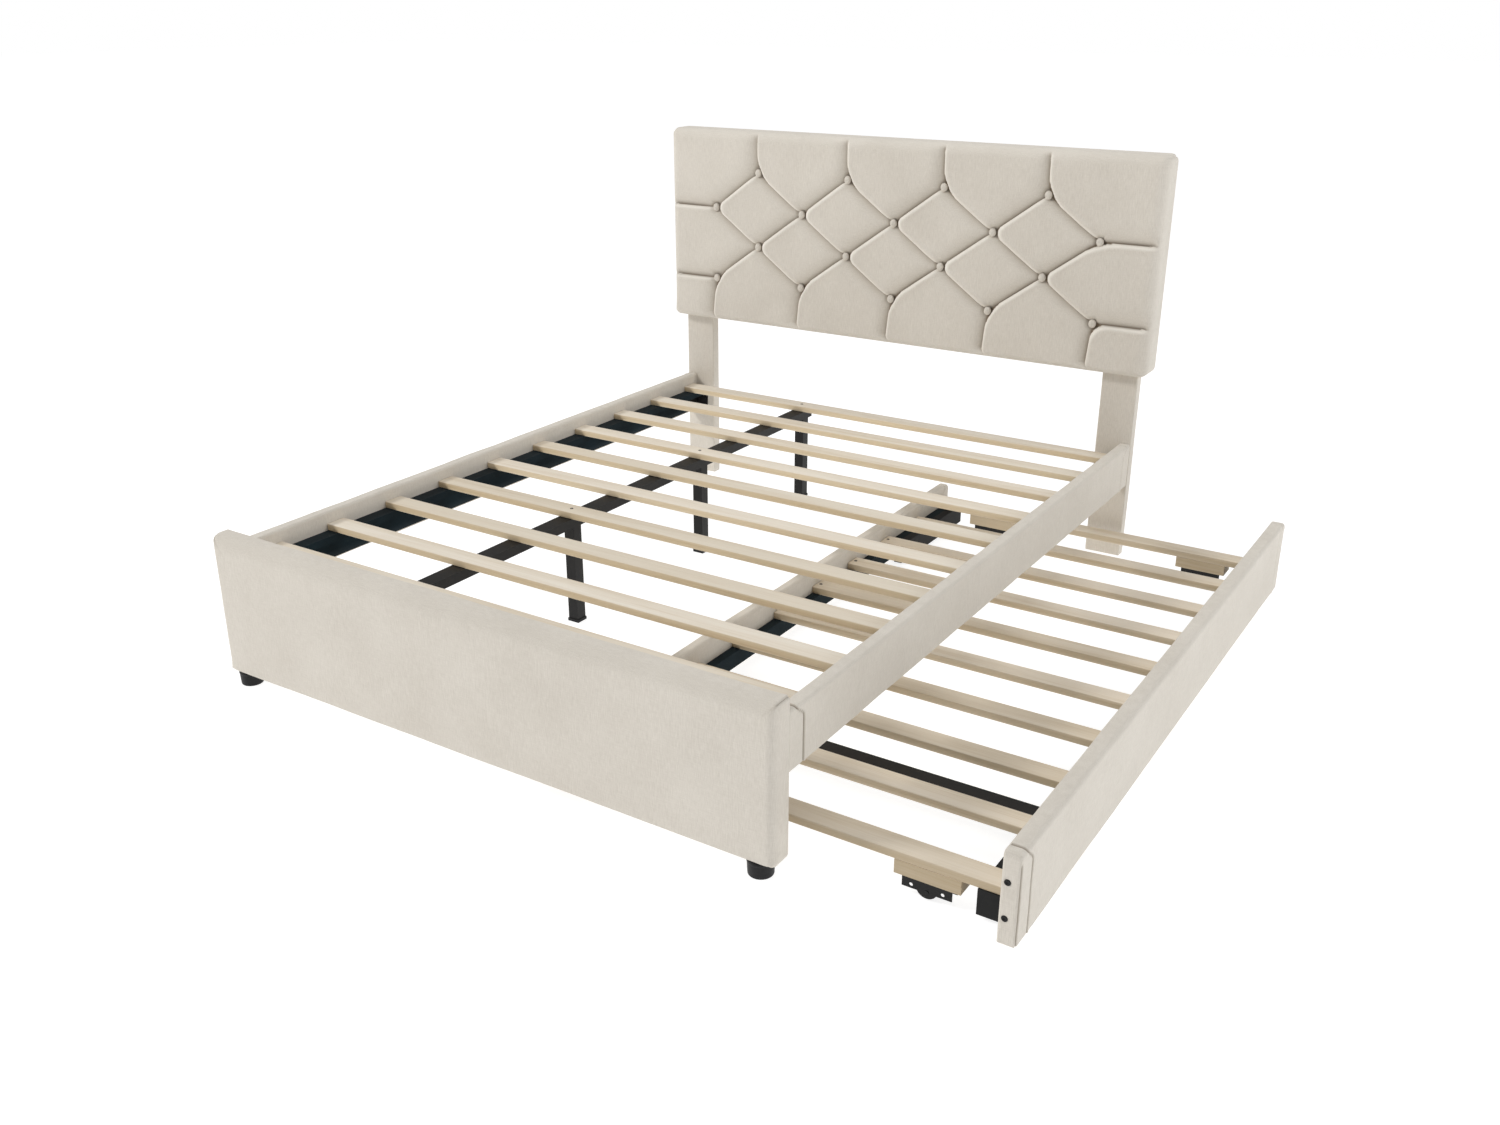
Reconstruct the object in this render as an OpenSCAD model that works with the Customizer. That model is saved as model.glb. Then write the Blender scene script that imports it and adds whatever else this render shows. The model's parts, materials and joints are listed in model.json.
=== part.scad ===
// Upholstered trundle bed: a padded headboard, footboard and side rails hold a slatted
// deck, and a second slatted deck on casters rolls out from under one side.
// Bed frame of reference used inside every module: x = 0 on the bed's centre line,
// y = 0 on the footboard's front face, z = 0 on the floor. place() moves it so that the
// origin is the bottom centre of the whole object with its trundle pulled out.

/* [Bed frame] */
// Width over the side rails
bed_w = 1600; // [1500:10:1700]
// Footboard front face to the back ends of the side rails
rail_end_y = 2015; // [2005:5:2030]
// Side rail thickness
rail_t = 34; // [30:1:36]
// Underside of the side rails above the floor
rail_z0 = 225; // [222:1:235]
// Top of the side rails above the floor
rail_z1 = 358; // [350:1:380]
// Footboard thickness
foot_t = 58; // [50:1:60]
// Underside of the footboard above the floor, which is the height of its feet
foot_z0 = 37; // [30:1:50]
// Top of the footboard above the floor
foot_z1 = 394; // [380:1:440]

/* [Headboard] */
// Width of the padded headboard
head_w = 1668; // [1650:2:1700]
// Thickness of the padded headboard, front to back
head_t = 96; // [90:1:110]
// Underside of the headboard above the floor
head_z0 = 570; // [540:5:600]
// Top of the headboard above the floor
head_z1 = 1190; // [1150:10:1300]
// Width of a headboard leg
leg_w = 108; // [80:1:110]
// Thickness of a headboard leg
leg_t = 35; // [30:1:36]

/* [Slats] */
// Slat width, along the bed
slat_w = 56; // [50:1:60]
// Bed slat thickness
slat_t = 18; // [15:1:20]
// Top of the bed slats above the floor
slat_top = 325.5; // [322:0.5:330]
// Front edge of the first bed slat behind the footboard's front face
slat_first = 127; // [110:1:130]
// Distance from one bed slat to the next
slat_pitch = 201.2; // [200:0.1:202]

/* [Centre beam] */
// Centre of the beam beside the bed's centre line, so that the trundle clears its legs
beam_x = -304.5; // [-310:0.5:-302]
// Beam width
beam_w = 45; // [40:1:50]
// Beam height
beam_h = 26; // [24:1:30]
// Side of a square beam leg
post_w = 32; // [28:1:34]
// Wall of the beam and of its legs
steel_t = 1.5; // [1.2:0.1:2]

/* [Trundle] */
// How far the trundle is pulled out from under the bed
pull_out = 470; // [400:5:560]
// Front panel thickness
front_t = 38; // [28:1:40]
// Top of the front panel above the floor
front_z1 = 208; // [190:1:215]
// Underside of the front panel above the floor
front_z0 = 10; // [8:1:15]
// Outside of the rear panel to the outside of the front panel
trundle_w = 1072; // [1060:1:1074]
// Rear panel thickness
rear_t = 30; // [26:1:32]
// Top of the rear panel above the floor
rear_z1 = 130; // [120:1:140]
// Underside of the trundle slats above the floor
deck_z = 69; // [66:0.5:72]
// Trundle slat thickness
trundle_slat_t = 19; // [16:1:20]
// Trundle slat width, along the bed
trundle_slat_w = 55; // [50:1:60]
// Front edge of the first trundle slat behind the footboard's front face
trundle_first = 120; // [118:1:125]
// Distance from one trundle slat to the next
trundle_pitch = 201.6; // [200:0.1:202]

/* [Casters] */
// Wheel radius
wheel_r = 17.5; // [15:0.5:17.5]
// Wheel width
wheel_w = 18; // [14:1:20]
// Axle radius
axle_r = 3; // [2.5:0.1:4]
// Wooden block length, along a slat
block_l = 140; // [110:5:150]
// Wooden block height
block_h = 30.5; // [28:0.5:31]

/* [Hidden] */
// Slats in the bed, and in the trundle
slat_count = 10;
slat_nodes = [for (k = [1:slat_count]) str("slat_", k)];
trundle_slat_nodes = [for (k = [1:slat_count]) str("trundle_slat_", k)];

fabric = "antiquewhite";
pine = "burlywood";
ply = "tan";
black = "#222222";
lining = "#1c2a32";
eps = 0.01;

// Bed
half_w = bed_w / 2;
rail_in = half_w - rail_t;
fabric_t = 4;
board_t = rail_t - 2 * fabric_t;
head_y1 = rail_end_y + leg_t + 20;
head_y0 = head_y1 - head_t;
leg_x1 = half_w + 2;
leg_x0 = leg_x1 - leg_w;
foam_t = 29;
wrap_t = 28;
leg_top = head_z1 - wrap_t - 45;
ledger_w = 40;
ledger_h = 19.5;
slat_z0 = slat_top - slat_t;
ledger_z0 = slat_z0 - ledger_h;
foot_wrap = 8;
foot_round = 24;
rail_round = 12;
panel_round = 11;
core_gap = 2;
foot_r = 29;
foot_x = half_w - 47;
foot_y = 29;

// Headboard buttons: rows alternate four and five buttons
button_dx = 329;
button_rows = [1062, 943, 826, 709];
button_r = 8;

// Beam
beam_z0 = slat_z0 - beam_h;
beam_end = slat_first + (slat_count - 1) * slat_pitch + slat_w;
post_slats = [4, 7, 10];
cap_h = 8;
cap_w = post_w + 4;

// Trundle
front_x1 = half_w + pull_out;
front_x0 = front_x1 - front_t;
rear_x0 = front_x1 - trundle_w;
rear_x1 = rear_x0 + rear_t;
panel_y0 = foot_t + 4;
panel_y1 = rail_end_y - 4;
frame_y0 = trundle_first - 2;
frame_y1 = panel_y1 - 8;
frame_z0 = 12;
frame_rail_w = 30;
front_ledger_w = 33;
rear_ledger_w = 25;
rear_ledger_z0 = 28;
screw_x = rear_x1 + 12;
stiffener_l = 425;
stiffener_w = 25;
bar_y0 = 402;
bar_w = 40;
bar_h = 20;
bolt_zs = [67, 144];
bolt_x = front_x0 + 13;

// Casters, whose blocks sit flush with the fronts of the first and last trundle slats
block_z0 = deck_z - block_h;
block_d = 60;
block_xs = [front_x0 - 96 - block_l / 2, rear_x1 + 182];
block_ys = [for (k = [1, slat_count]) trundle_first + (k - 1) * trundle_pitch];
bracket_l = 105;
bracket_t = 2;
bracket_gap = 3;
bracket_d = wheel_w + 2 * (bracket_gap + bracket_t);
bracket_y = 1;
bracket_z0 = 16;

// Screws
screw_r = 2.5;
screw_head_r = 4.5;
screw_head_h = 2;
bolt_r = 3;
bolt_gap = 0.2;
bolt_head_r = 6;
bolt_head_h = 3.5;
bolt_grip = 22;
leg_bolt_r = 4;
leg_bolt_head_r = 9;
leg_bolt_head_h = 5;

span_x = [-head_w / 2, front_x1];
span_y = [0, head_y1];

module place() {
    translate([-(span_x[0] + span_x[1]) / 2, -(span_y[0] + span_y[1]) / 2, 0]) children();
}

// A box between two corners
module span_box(low, high) {
    translate(low) cube(high - low);
}

// A round bar along y with its start point given
module y_rod(start, r, length) {
    translate(start) rotate([-90, 0, 0]) cylinder(r = r, h = length, $fn = 48);
}

// A round bar along x with its start point given
module x_rod(start, r, length) {
    translate(start) rotate([0, 90, 0]) cylinder(r = r, h = length, $fn = 48);
}

// A rectangle from the origin with its low and its high corners rounded
module round_rect(w, h, r_low, r_high) {
    union() {
        translate([0, r_low]) square([w, h - r_low - r_high]);
        translate([r_low, 0]) square([w - 2 * r_low, r_low + eps]);
        translate([r_high, h - r_high - eps]) square([w - 2 * r_high, r_high + eps]);
        for (x = [r_low, w - r_low]) translate([x, r_low]) circle(r_low, $fn = 32);
        for (x = [r_high, w - r_high]) translate([x, h - r_high]) circle(r_high, $fn = 32);
    }
}

// A bar along y with its bottom and top edges rounded
module round_bar(low, high, r_low, r_top) {
    s = high - low;
    translate([low[0], high[1], low[2]])
        rotate([90, 0, 0]) linear_extrude(s[1]) round_rect(s[0], s[2], r_low, r_top);
}

// A padded block with every edge rounded but the lower ones, which are nearly square,
// and its corners mitred where the roundings meet
module soft_block(low, high, r, r_low) {
    s = high - low;
    intersection() {
        round_bar(low, high, r_low, r);
        translate(low) rotate([90, 0, 90]) linear_extrude(s[0]) round_rect(s[1], s[2], r_low, r);
        translate(low) linear_extrude(s[2]) round_rect(s[0], s[1], r, r);
    }
}

// A countersunk wood screw, head up, with the top of its head at the point given
module wood_screw(top, length) {
    translate([top[0], top[1], top[2] - screw_head_h])
        cylinder(r = screw_head_r, h = screw_head_h, $fn = 32);
    translate([top[0], top[1], top[2] - length])
        cylinder(r = screw_r, h = length - screw_head_h + eps, $fn = 32);
}

// A slat: a board across the bed with a screw hole at each x given
module slat(x0, x1, y0, width, z0, thick, screw_xs) {
    difference() {
        span_box([x0, y0, z0], [x1, y0 + width, z0 + thick]);
        for (x = screw_xs) wood_screw([x, y0 + width / 2, z0 + thick + eps], thick + 1);
    }
}

function slat_y(k) = slat_first + (k - 1) * slat_pitch;
function trundle_slat_y(k) = trundle_first + (k - 1) * trundle_pitch;
function trundle_slat_mid(k) = trundle_slat_y(k) + trundle_slat_w / 2;
function holds_post(k) = len([for (p = post_slats) if (p == k) 1]) > 0;

// ---- Headboard ----

// Plywood sheet with a timber rail along its top and bottom and a stile in the middle
module headboard_frame() {
    x = head_w / 2 - wrap_t;
    y0 = head_y0 + foam_t;
    z0 = head_z0 + wrap_t;
    z1 = head_z1 - wrap_t;
    rail_h = 42;
    color(ply) difference() {
        union() {
            span_box([-x, y0, z0], [x, rail_end_y, z1]);
            span_box([-x, rail_end_y - eps, z1 - rail_h], [x, head_y1 - 6, z1]);
            span_box([-leg_x0 + 1, rail_end_y - eps, z0], [leg_x0 - 1, head_y1 - 6, z0 + rail_h]);
            span_box([-25, rail_end_y - eps, z0], [25, head_y1 - 6, z1]);
        }
        headboard_bolt_holes();
    }
}

// Places of the bolts that hold the legs to the headboard's plywood
module at_headboard_bolts() {
    for (side = [-1, 1], z = [head_z0 + 125, head_z0 + 425])
        translate([side * (leg_x0 + leg_w / 2), rail_end_y, z]) children();
}

module headboard_bolt_holes() {
    at_headboard_bolts() y_rod([0, -20, 0], leg_bolt_r + bolt_gap, leg_t + 30);
}

// Foam and fabric around the headboard frame, closed at the back by its dust cover
module headboard_pad() {
    x = head_w / 2;
    difference() {
        color(fabric) soft_block([-x, head_y0, head_z0], [x, head_y1, head_z1], 24, 24);
        span_box([-x + wrap_t, head_y0 + foam_t, head_z0 + wrap_t],
                 [x - wrap_t, head_y1 - 6, head_z1 - wrap_t]);
        for (side = [-1, 1])
            translate([side * (leg_x0 + leg_w / 2), 0, 0])
                span_box([-leg_w / 2, rail_end_y, head_z0 - 1],
                         [leg_w / 2, rail_end_y + leg_t, head_z0 + wrap_t + 1]);
        color(fabric) tuft_buttons();
    }
}

// Fabric-covered buttons, set half into the pad
module tuft_buttons() {
    color(fabric) for (row = [0:len(button_rows) - 1]) {
        count = row % 2 == 0 ? 4 : 5;
        for (i = [0:count - 1])
            translate([(i - (count - 1) / 2) * button_dx, head_y0, button_rows[row]])
                rotate([-90, 0, 0]) cylinder(r = button_r, h = 9, $fn = 32);
    }
}

module headboard_leg(side) {
    x = side * (leg_x0 + leg_w / 2);
    color(fabric) difference() {
        translate([x, 0, 0])
            span_box([-leg_w / 2, rail_end_y, 0], [leg_w / 2, rail_end_y + leg_t, leg_top]);
        headboard_bolt_holes();
        bracket_bolt_holes();
    }
}

// ---- Footboard ----

// The footboard's inside, whose upper edges are rounded under the foam
module footboard_core(z0, r) {
    soft_block([-half_w + foot_wrap, foot_wrap, z0],
               [half_w - foot_wrap, foot_t - foot_wrap, foot_z1 - foot_wrap], r, 1);
}

module footboard_board() {
    color(ply) difference() {
        footboard_core(foot_z0, foot_round - foot_wrap);
        bracket_bolt_holes();
        beam_bolt_holes();
    }
}

module footboard_cover() {
    color(fabric) difference() {
        soft_block([-half_w, 0, foot_z0], [half_w, foot_t, foot_z1], foot_round, 4);
        footboard_core(foot_z0 - 5, foot_round - foot_wrap - core_gap);
        bracket_bolt_holes();
        beam_bolt_holes();
    }
}

module footboard_feet() {
    color(black) for (side = [-1, 1])
        translate([side * foot_x, foot_y, 0]) {
            cylinder(r1 = foot_r - 2, r2 = foot_r, h = foot_z0 - 6, $fn = 64);
            translate([0, 0, foot_z0 - 6 - eps]) cylinder(r = foot_r, h = 6 + eps, $fn = 64);
        }
}

// ---- Side rails ----

// A side rail's inside, longer than the rail by extra at each end
module side_rail_core(side, extra, r) {
    translate([side * (half_w - rail_t / 2), 0, 0])
        round_bar([-board_t / 2, foot_t - extra, rail_z0 + fabric_t],
                  [board_t / 2, rail_end_y + extra, rail_z1 - fabric_t], 1, r);
}

module side_rail_board(side) {
    color(ply) difference() {
        side_rail_core(side, 0, rail_round - fabric_t);
        bracket_bolt_holes();
    }
}

module side_rail_cover(side) {
    mid = side * (half_w - rail_t / 2);
    color(fabric) difference() {
        translate([mid, 0, 0])
            round_bar([-rail_t / 2, foot_t, rail_z0], [rail_t / 2, rail_end_y, rail_z1], 3, rail_round);
        side_rail_core(side, 1, rail_round - fabric_t - core_gap);
        bracket_bolt_holes();
    }
}

// Batten that carries the slat ends
module ledger(side) {
    color(lining) translate([side * (rail_in - ledger_w / 2), 0, 0])
        span_box([-ledger_w / 2, foot_t, ledger_z0], [ledger_w / 2, rail_end_y, slat_z0]);
}

// ---- Corner brackets and bolts ----

bracket_z = [rail_z0 + 12, ledger_z0 - 4];
bracket_leg = 46;
plate_t = 3;

// Places of the four brackets, each with y pointing away from the end it is bolted to
module at_corners() {
    for (side = [0, 1]) mirror([side, 0, 0]) {
        translate([rail_in, foot_t, 0]) children();
        translate([rail_in, rail_end_y, 0]) mirror([0, 1, 0]) children();
    }
}

// Shanks of the four bolts of one bracket
module bracket_shanks(r) {
    for (z = [bracket_z[0] + 10, bracket_z[1] - 10]) {
        x_rod([-plate_t, bracket_leg - 12, z], r, plate_t + bolt_grip);
        y_rod([-bracket_leg + 12, -bolt_grip, z], r, plate_t + bolt_grip);
    }
}

module bracket_bolt_holes() {
    at_corners() bracket_shanks(bolt_r + bolt_gap);
}

// Steel angles inside the corners
module corner_brackets() {
    color(black) difference() {
        at_corners() union() {
            span_box([-bracket_leg, 0, bracket_z[0]], [0, plate_t, bracket_z[1]]);
            span_box([-plate_t, 0, bracket_z[0]], [0, bracket_leg, bracket_z[1]]);
        }
        bracket_bolt_holes();
    }
}

// Every bolt of the bed frame: headboard legs, corner brackets and beam plate
module frame_bolts() {
    color(black) {
        at_headboard_bolts() {
            y_rod([0, -11, 0], leg_bolt_r, leg_t + 11 + eps);
            y_rod([0, leg_t, 0], leg_bolt_head_r, leg_bolt_head_h);
        }
        at_corners() bracket_shanks(bolt_r);
        at_corners() for (z = [bracket_z[0] + 10, bracket_z[1] - 10]) {
            x_rod([-plate_t - bolt_head_h, bracket_leg - 12, z], bolt_head_r, bolt_head_h + eps);
            y_rod([-bracket_leg + 12, plate_t - eps, z], bolt_head_r, bolt_head_h + eps);
        }
        at_beam_bolts() {
            y_rod([0, -bolt_grip, 0], bolt_r, bolt_grip + plate_t);
            y_rod([0, plate_t - eps, 0], bolt_head_r, bolt_head_h + eps);
        }
    }
}

// ---- Centre beam ----

beam_plate_h = 60;

module at_beam_bolts() {
    for (side = [-1, 1])
        translate([beam_x + side * (beam_w / 2 + 9), foot_t, beam_z0 - 10]) children();
}

module beam_bolt_holes() {
    at_beam_bolts() y_rod([0, -bolt_grip, 0], bolt_r + bolt_gap, bolt_grip + plate_t + 1);
}

// Square tube with a bolted plate where it meets the footboard, and holes for the slat screws
module centre_beam() {
    color(black) difference() {
        union() {
            span_box([beam_x - beam_w / 2, foot_t, beam_z0], [beam_x + beam_w / 2, beam_end, slat_z0]);
            span_box([beam_x - beam_w / 2 - 18, foot_t, slat_z0 - beam_plate_h],
                     [beam_x + beam_w / 2 + 18, foot_t + plate_t, slat_z0]);
        }
        span_box([beam_x - beam_w / 2 + steel_t, foot_t + plate_t, beam_z0 + steel_t],
                 [beam_x + beam_w / 2 - steel_t, beam_end + 1, slat_z0 - steel_t]);
        beam_bolt_holes();
        for (k = post_slats)
            translate([beam_x, slat_y(k) + slat_w / 2, slat_z0 - 5])
                cylinder(r = screw_r, h = 10, $fn = 32);
    }
}

// Square steel post under a slat, open at the bottom for its cap
module centre_leg(index) {
    y = slat_y(post_slats[index]) + slat_w / 2;
    color(black) translate([beam_x, y, 0]) difference() {
        span_box([-post_w / 2, -post_w / 2, cap_h], [post_w / 2, post_w / 2, beam_z0]);
        span_box([-post_w / 2 + steel_t, -post_w / 2 + steel_t, cap_h - 1],
                 [post_w / 2 - steel_t, post_w / 2 - steel_t, beam_z0 - steel_t]);
    }
}

// Plastic caps plugged into the posts
module centre_leg_caps() {
    plug = post_w / 2 - steel_t;
    color(black) for (k = post_slats)
        translate([beam_x, slat_y(k) + slat_w / 2, 0]) {
            span_box([-cap_w / 2, -cap_w / 2, 0], [cap_w / 2, cap_w / 2, cap_h]);
            span_box([-plug, -plug, cap_h - eps], [plug, plug, cap_h + 18]);
        }
}

// Screws through the slats over the posts
module slat_screws() {
    color(black) for (k = post_slats)
        wood_screw([beam_x, slat_y(k) + slat_w / 2, slat_top], slat_t + 8);
}

// ---- Bed slats ----

module bed_slat(k) {
    color(pine) slat(-rail_in, rail_in, slat_y(k), slat_w, slat_z0, slat_t, holds_post(k) ? [beam_x] : []);
}

// ---- Trundle panels ----

// Long bolts sunk into both ends of the front panel
module panel_bolts() {
    color(black) for (z = bolt_zs, end = [0, 1])
        translate([bolt_x, end == 0 ? panel_y0 : panel_y1, z]) mirror([0, end, 0]) difference() {
            union() {
                y_rod([0, 2, 0], 5, 6);
                y_rod([0, 8 - eps, 0], bolt_r, 50);
            }
            translate([0, 1, 0]) rotate([-90, 0, 0]) cylinder(r = 2.5, h = 4, $fn = 6);
        }
}

module panel_bolt_holes() {
    for (z = bolt_zs, end = [0, 1])
        translate([bolt_x, end == 0 ? panel_y0 : panel_y1, z]) mirror([0, end, 0]) {
            y_rod([0, -1, 0], 5, 9);
            y_rod([0, 7, 0], bolt_r, 51);
        }
}

// Board inside a trundle panel, open at the bottom of its cover
module panel_board(x0, x1, z0, z1, r = panel_round - fabric_t) {
    soft_block([x0 + fabric_t, panel_y0 + fabric_t, z0],
               [x1 - fabric_t, panel_y1 - fabric_t, z1 - fabric_t], r, 1);
}

module panel_cover(x0, x1, z0, z1) {
    difference() {
        soft_block([x0, panel_y0, z0], [x1, panel_y1, z1], panel_round, 3);
        panel_board(x0, x1, z0 - 5, z1, panel_round - fabric_t - core_gap);
    }
}

module trundle_front_board() {
    color(ply) difference() {
        panel_board(front_x0, front_x1, front_z0, front_z1);
        panel_bolt_holes();
    }
}

module trundle_front_cover() {
    color(fabric) difference() {
        panel_cover(front_x0, front_x1, front_z0, front_z1);
        panel_bolt_holes();
    }
}

module trundle_rear_board() {
    color(ply) panel_board(rear_x0, rear_x1, front_z0, rear_z1);
}

module trundle_rear_cover() {
    color(fabric) panel_cover(rear_x0, rear_x1, front_z0, rear_z1);
}

// ---- Trundle frame ----

// Batten on the inside of the front frame rail
module trundle_ledger_front() {
    x1 = front_x0 - frame_rail_w;
    color(black) span_box([x1 - front_ledger_w, frame_y0, frame_z0], [x1, frame_y1, deck_z]);
}

// Rail between the front panel and its batten
module trundle_frame_rail() {
    color(black) span_box([front_x0 - frame_rail_w, frame_y0, frame_z0], [front_x0, frame_y1, deck_z]);
}

module trundle_ledger_rear() {
    color(lining) difference() {
        span_box([rear_x1, frame_y0, rear_ledger_z0], [rear_x1 + rear_ledger_w, frame_y1, deck_z]);
        for (k = [1:slat_count])
            translate([screw_x, trundle_slat_mid(k), deck_z - 22])
                cylinder(r = screw_r, h = 23, $fn = 32);
    }
}

// Short blocks that double the rear batten at both ends
module trundle_stiffeners() {
    x0 = rear_x1 + rear_ledger_w;
    color(black) for (y = [frame_y0, frame_y1 - stiffener_l])
        span_box([x0, y, frame_z0], [x0 + stiffener_w, y + stiffener_l, deck_z]);
}

// Flat steel tube across the trundle between its battens
module trundle_cross_bar() {
    x0 = rear_x1 + rear_ledger_w + stiffener_w;
    x1 = front_x0 - frame_rail_w - front_ledger_w;
    color(black) difference() {
        span_box([x0, bar_y0, deck_z - bar_h], [x1, bar_y0 + bar_w, deck_z]);
        span_box([x0 - 1, bar_y0 + steel_t, deck_z - bar_h + steel_t],
                 [x1 + 1, bar_y0 + bar_w - steel_t, deck_z - steel_t]);
    }
}

module trundle_slat(k) {
    color(pine) slat(rear_x1, front_x0, trundle_slat_y(k), trundle_slat_w, deck_z, trundle_slat_t, [screw_x]);
}

module trundle_screws() {
    color(black) for (k = [1:slat_count])
        wood_screw([screw_x, trundle_slat_mid(k), deck_z + trundle_slat_t], trundle_slat_t + 20);
}

// ---- Casters ----

// Places of the four casters, at the middle of each block's front face
module at_casters() {
    for (x = block_xs, y = block_ys) translate([x, y, 0]) children();
}

module caster_blocks() {
    color(pine) at_casters()
        span_box([-block_l / 2, 0, block_z0], [block_l / 2, block_d, deck_z]);
}

// One cheek of a bracket: a strip with a round lobe over the axle and two holes
module caster_cheek() {
    lobe_r = 22.7;
    lobe_z = 26.7;
    hole_x = 33;
    difference() {
        union() {
            translate([-bracket_l / 2, bracket_z0]) square([bracket_l, block_z0 - bracket_z0]);
            intersection() {
                translate([0, lobe_z]) circle(lobe_r, $fn = 64);
                translate([-lobe_r, 0]) square([2 * lobe_r, block_z0]);
            }
        }
        for (side = [-1, 1]) translate([side * hole_x, 24]) circle(4, $fn = 32);
        translate([0, wheel_r]) circle(axle_r, $fn = 48);
    }
}

// Folded steel brackets, two cheeks joined by a plate screwed up under the block
module caster_brackets() {
    color(black) at_casters() union() {
        for (y = [bracket_y, bracket_y + bracket_d - bracket_t])
            translate([0, y + bracket_t, 0]) rotate([90, 0, 0]) linear_extrude(bracket_t) caster_cheek();
        span_box([-bracket_l / 2, bracket_y, block_z0 - bracket_t],
                 [bracket_l / 2, bracket_y + bracket_d, block_z0]);
    }
}

// Rivets that the wheels turn on, from cheek to cheek
module caster_axles() {
    color(black) at_casters() {
        y_rod([0, bracket_y, wheel_r], axle_r, bracket_d);
        y_rod([0, bracket_y - 1, wheel_r], axle_r + 1.5, 1 + eps);
        y_rod([0, bracket_y + bracket_d - eps, wheel_r], axle_r + 1.5, 1);
    }
}

// Nylon wheel with a hub standing proud of each side of its tread
module caster_wheel(x, y) {
    clearance = 0.05;
    tread_w = wheel_w - 2;
    middle = bracket_y + bracket_d / 2;
    color(black) translate([x, y + middle, wheel_r]) rotate([90, 0, 0]) difference() {
        rotate_extrude($fn = 96) polygon([
            [0, -wheel_w / 2], [7, -wheel_w / 2], [7, -tread_w / 2],
            [wheel_r - 2, -tread_w / 2], [wheel_r, -tread_w / 2 + 2],
            [wheel_r, tread_w / 2 - 2], [wheel_r - 2, tread_w / 2],
            [7, tread_w / 2], [7, wheel_w / 2], [0, wheel_w / 2]
        ]);
        translate([0, 0, -wheel_w]) cylinder(r = axle_r + clearance, h = 2 * wheel_w, $fn = 48);
    }
}

// ---- Nodes ----

place() headboard_frame();
place() headboard_pad();
place() tuft_buttons();
place() headboard_leg(-1);  // headboard_leg_left
place() headboard_leg(1);  // headboard_leg_right
place() frame_bolts();
place() footboard_board();
place() footboard_cover();
place() footboard_feet();
place() side_rail_board(-1);  // side_rail_left_board
place() side_rail_cover(-1);  // side_rail_left_cover
place() side_rail_board(1);  // side_rail_right_board
place() side_rail_cover(1);  // side_rail_right_cover
place() ledger(-1);  // ledger_left
place() ledger(1);  // ledger_right
place() centre_beam();
place() centre_leg(0);  // centre_leg_1
place() centre_leg(1);  // centre_leg_2
place() centre_leg(2);  // centre_leg_3
place() centre_leg_caps();
place() corner_brackets();
place() slat_screws();
place() trundle_front_board();
place() trundle_front_cover();
place() trundle_rear_board();
place() trundle_rear_cover();
place() trundle_ledger_front();
place() trundle_ledger_rear();
place() trundle_frame_rail();
place() trundle_stiffeners();
place() trundle_cross_bar();
place() trundle_screws();
place() panel_bolts();
place() caster_blocks();
place() caster_brackets();
place() caster_axles();
place() caster_wheel(block_xs[0], block_ys[0]);  // wheel_front_foot
place() caster_wheel(block_xs[0], block_ys[1]);  // wheel_front_head
place() caster_wheel(block_xs[1], block_ys[0]);  // wheel_rear_foot
place() caster_wheel(block_xs[1], block_ys[1]);  // wheel_rear_head
for (k = [1:slat_count]) {
    place() bed_slat(k);
    place() trundle_slat(k);
}
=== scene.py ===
"""Looks of an upholstered trundle bed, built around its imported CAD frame."""
import json
import math

import bpy
import numpy as np
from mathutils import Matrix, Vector


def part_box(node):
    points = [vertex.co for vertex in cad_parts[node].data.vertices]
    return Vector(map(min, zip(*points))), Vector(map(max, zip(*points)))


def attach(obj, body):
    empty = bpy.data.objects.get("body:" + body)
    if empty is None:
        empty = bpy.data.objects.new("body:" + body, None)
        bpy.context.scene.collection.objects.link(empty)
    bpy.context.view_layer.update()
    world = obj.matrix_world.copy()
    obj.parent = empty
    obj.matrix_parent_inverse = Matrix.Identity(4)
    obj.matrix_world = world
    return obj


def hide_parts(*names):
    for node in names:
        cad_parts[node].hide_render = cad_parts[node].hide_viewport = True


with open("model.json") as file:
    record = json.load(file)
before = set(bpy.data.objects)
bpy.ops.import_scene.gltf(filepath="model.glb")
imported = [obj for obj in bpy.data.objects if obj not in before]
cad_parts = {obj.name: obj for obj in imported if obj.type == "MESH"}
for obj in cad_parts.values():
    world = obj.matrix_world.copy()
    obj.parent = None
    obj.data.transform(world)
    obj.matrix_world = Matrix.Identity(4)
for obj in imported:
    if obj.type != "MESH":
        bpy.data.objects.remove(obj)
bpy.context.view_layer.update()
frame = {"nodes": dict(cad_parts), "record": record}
NODES = frame["nodes"]

# The bed's own origin: its centre line, the footboard's front face and the floor
PAD_LO, PAD_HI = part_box("headboard_pad")
BED_X = (PAD_LO.x + PAD_HI.x) / 2
BED_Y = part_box("footboard_cover")[0].y
MM = 0.001


def node_box(node):
    """A CAD node's lowest and highest corners in millimetres, from the bed's own origin."""
    lo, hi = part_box(node)
    shift = Vector((BED_X, BED_Y, 0))
    return np.array(lo - shift) / MM, np.array(hi - shift) / MM


def to_frame(points):
    """Millimetres from the bed's own origin to metres in the row frame."""
    return np.asarray(points, float) * MM + np.array([BED_X, BED_Y, 0])


def add_object(name, data):
    """Puts a camera, a lamp or a mesh in the scene."""
    found = bpy.data.objects.new(name, data)
    bpy.context.scene.collection.objects.link(found)
    return found


# ---- Camera, light and floor ----

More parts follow.
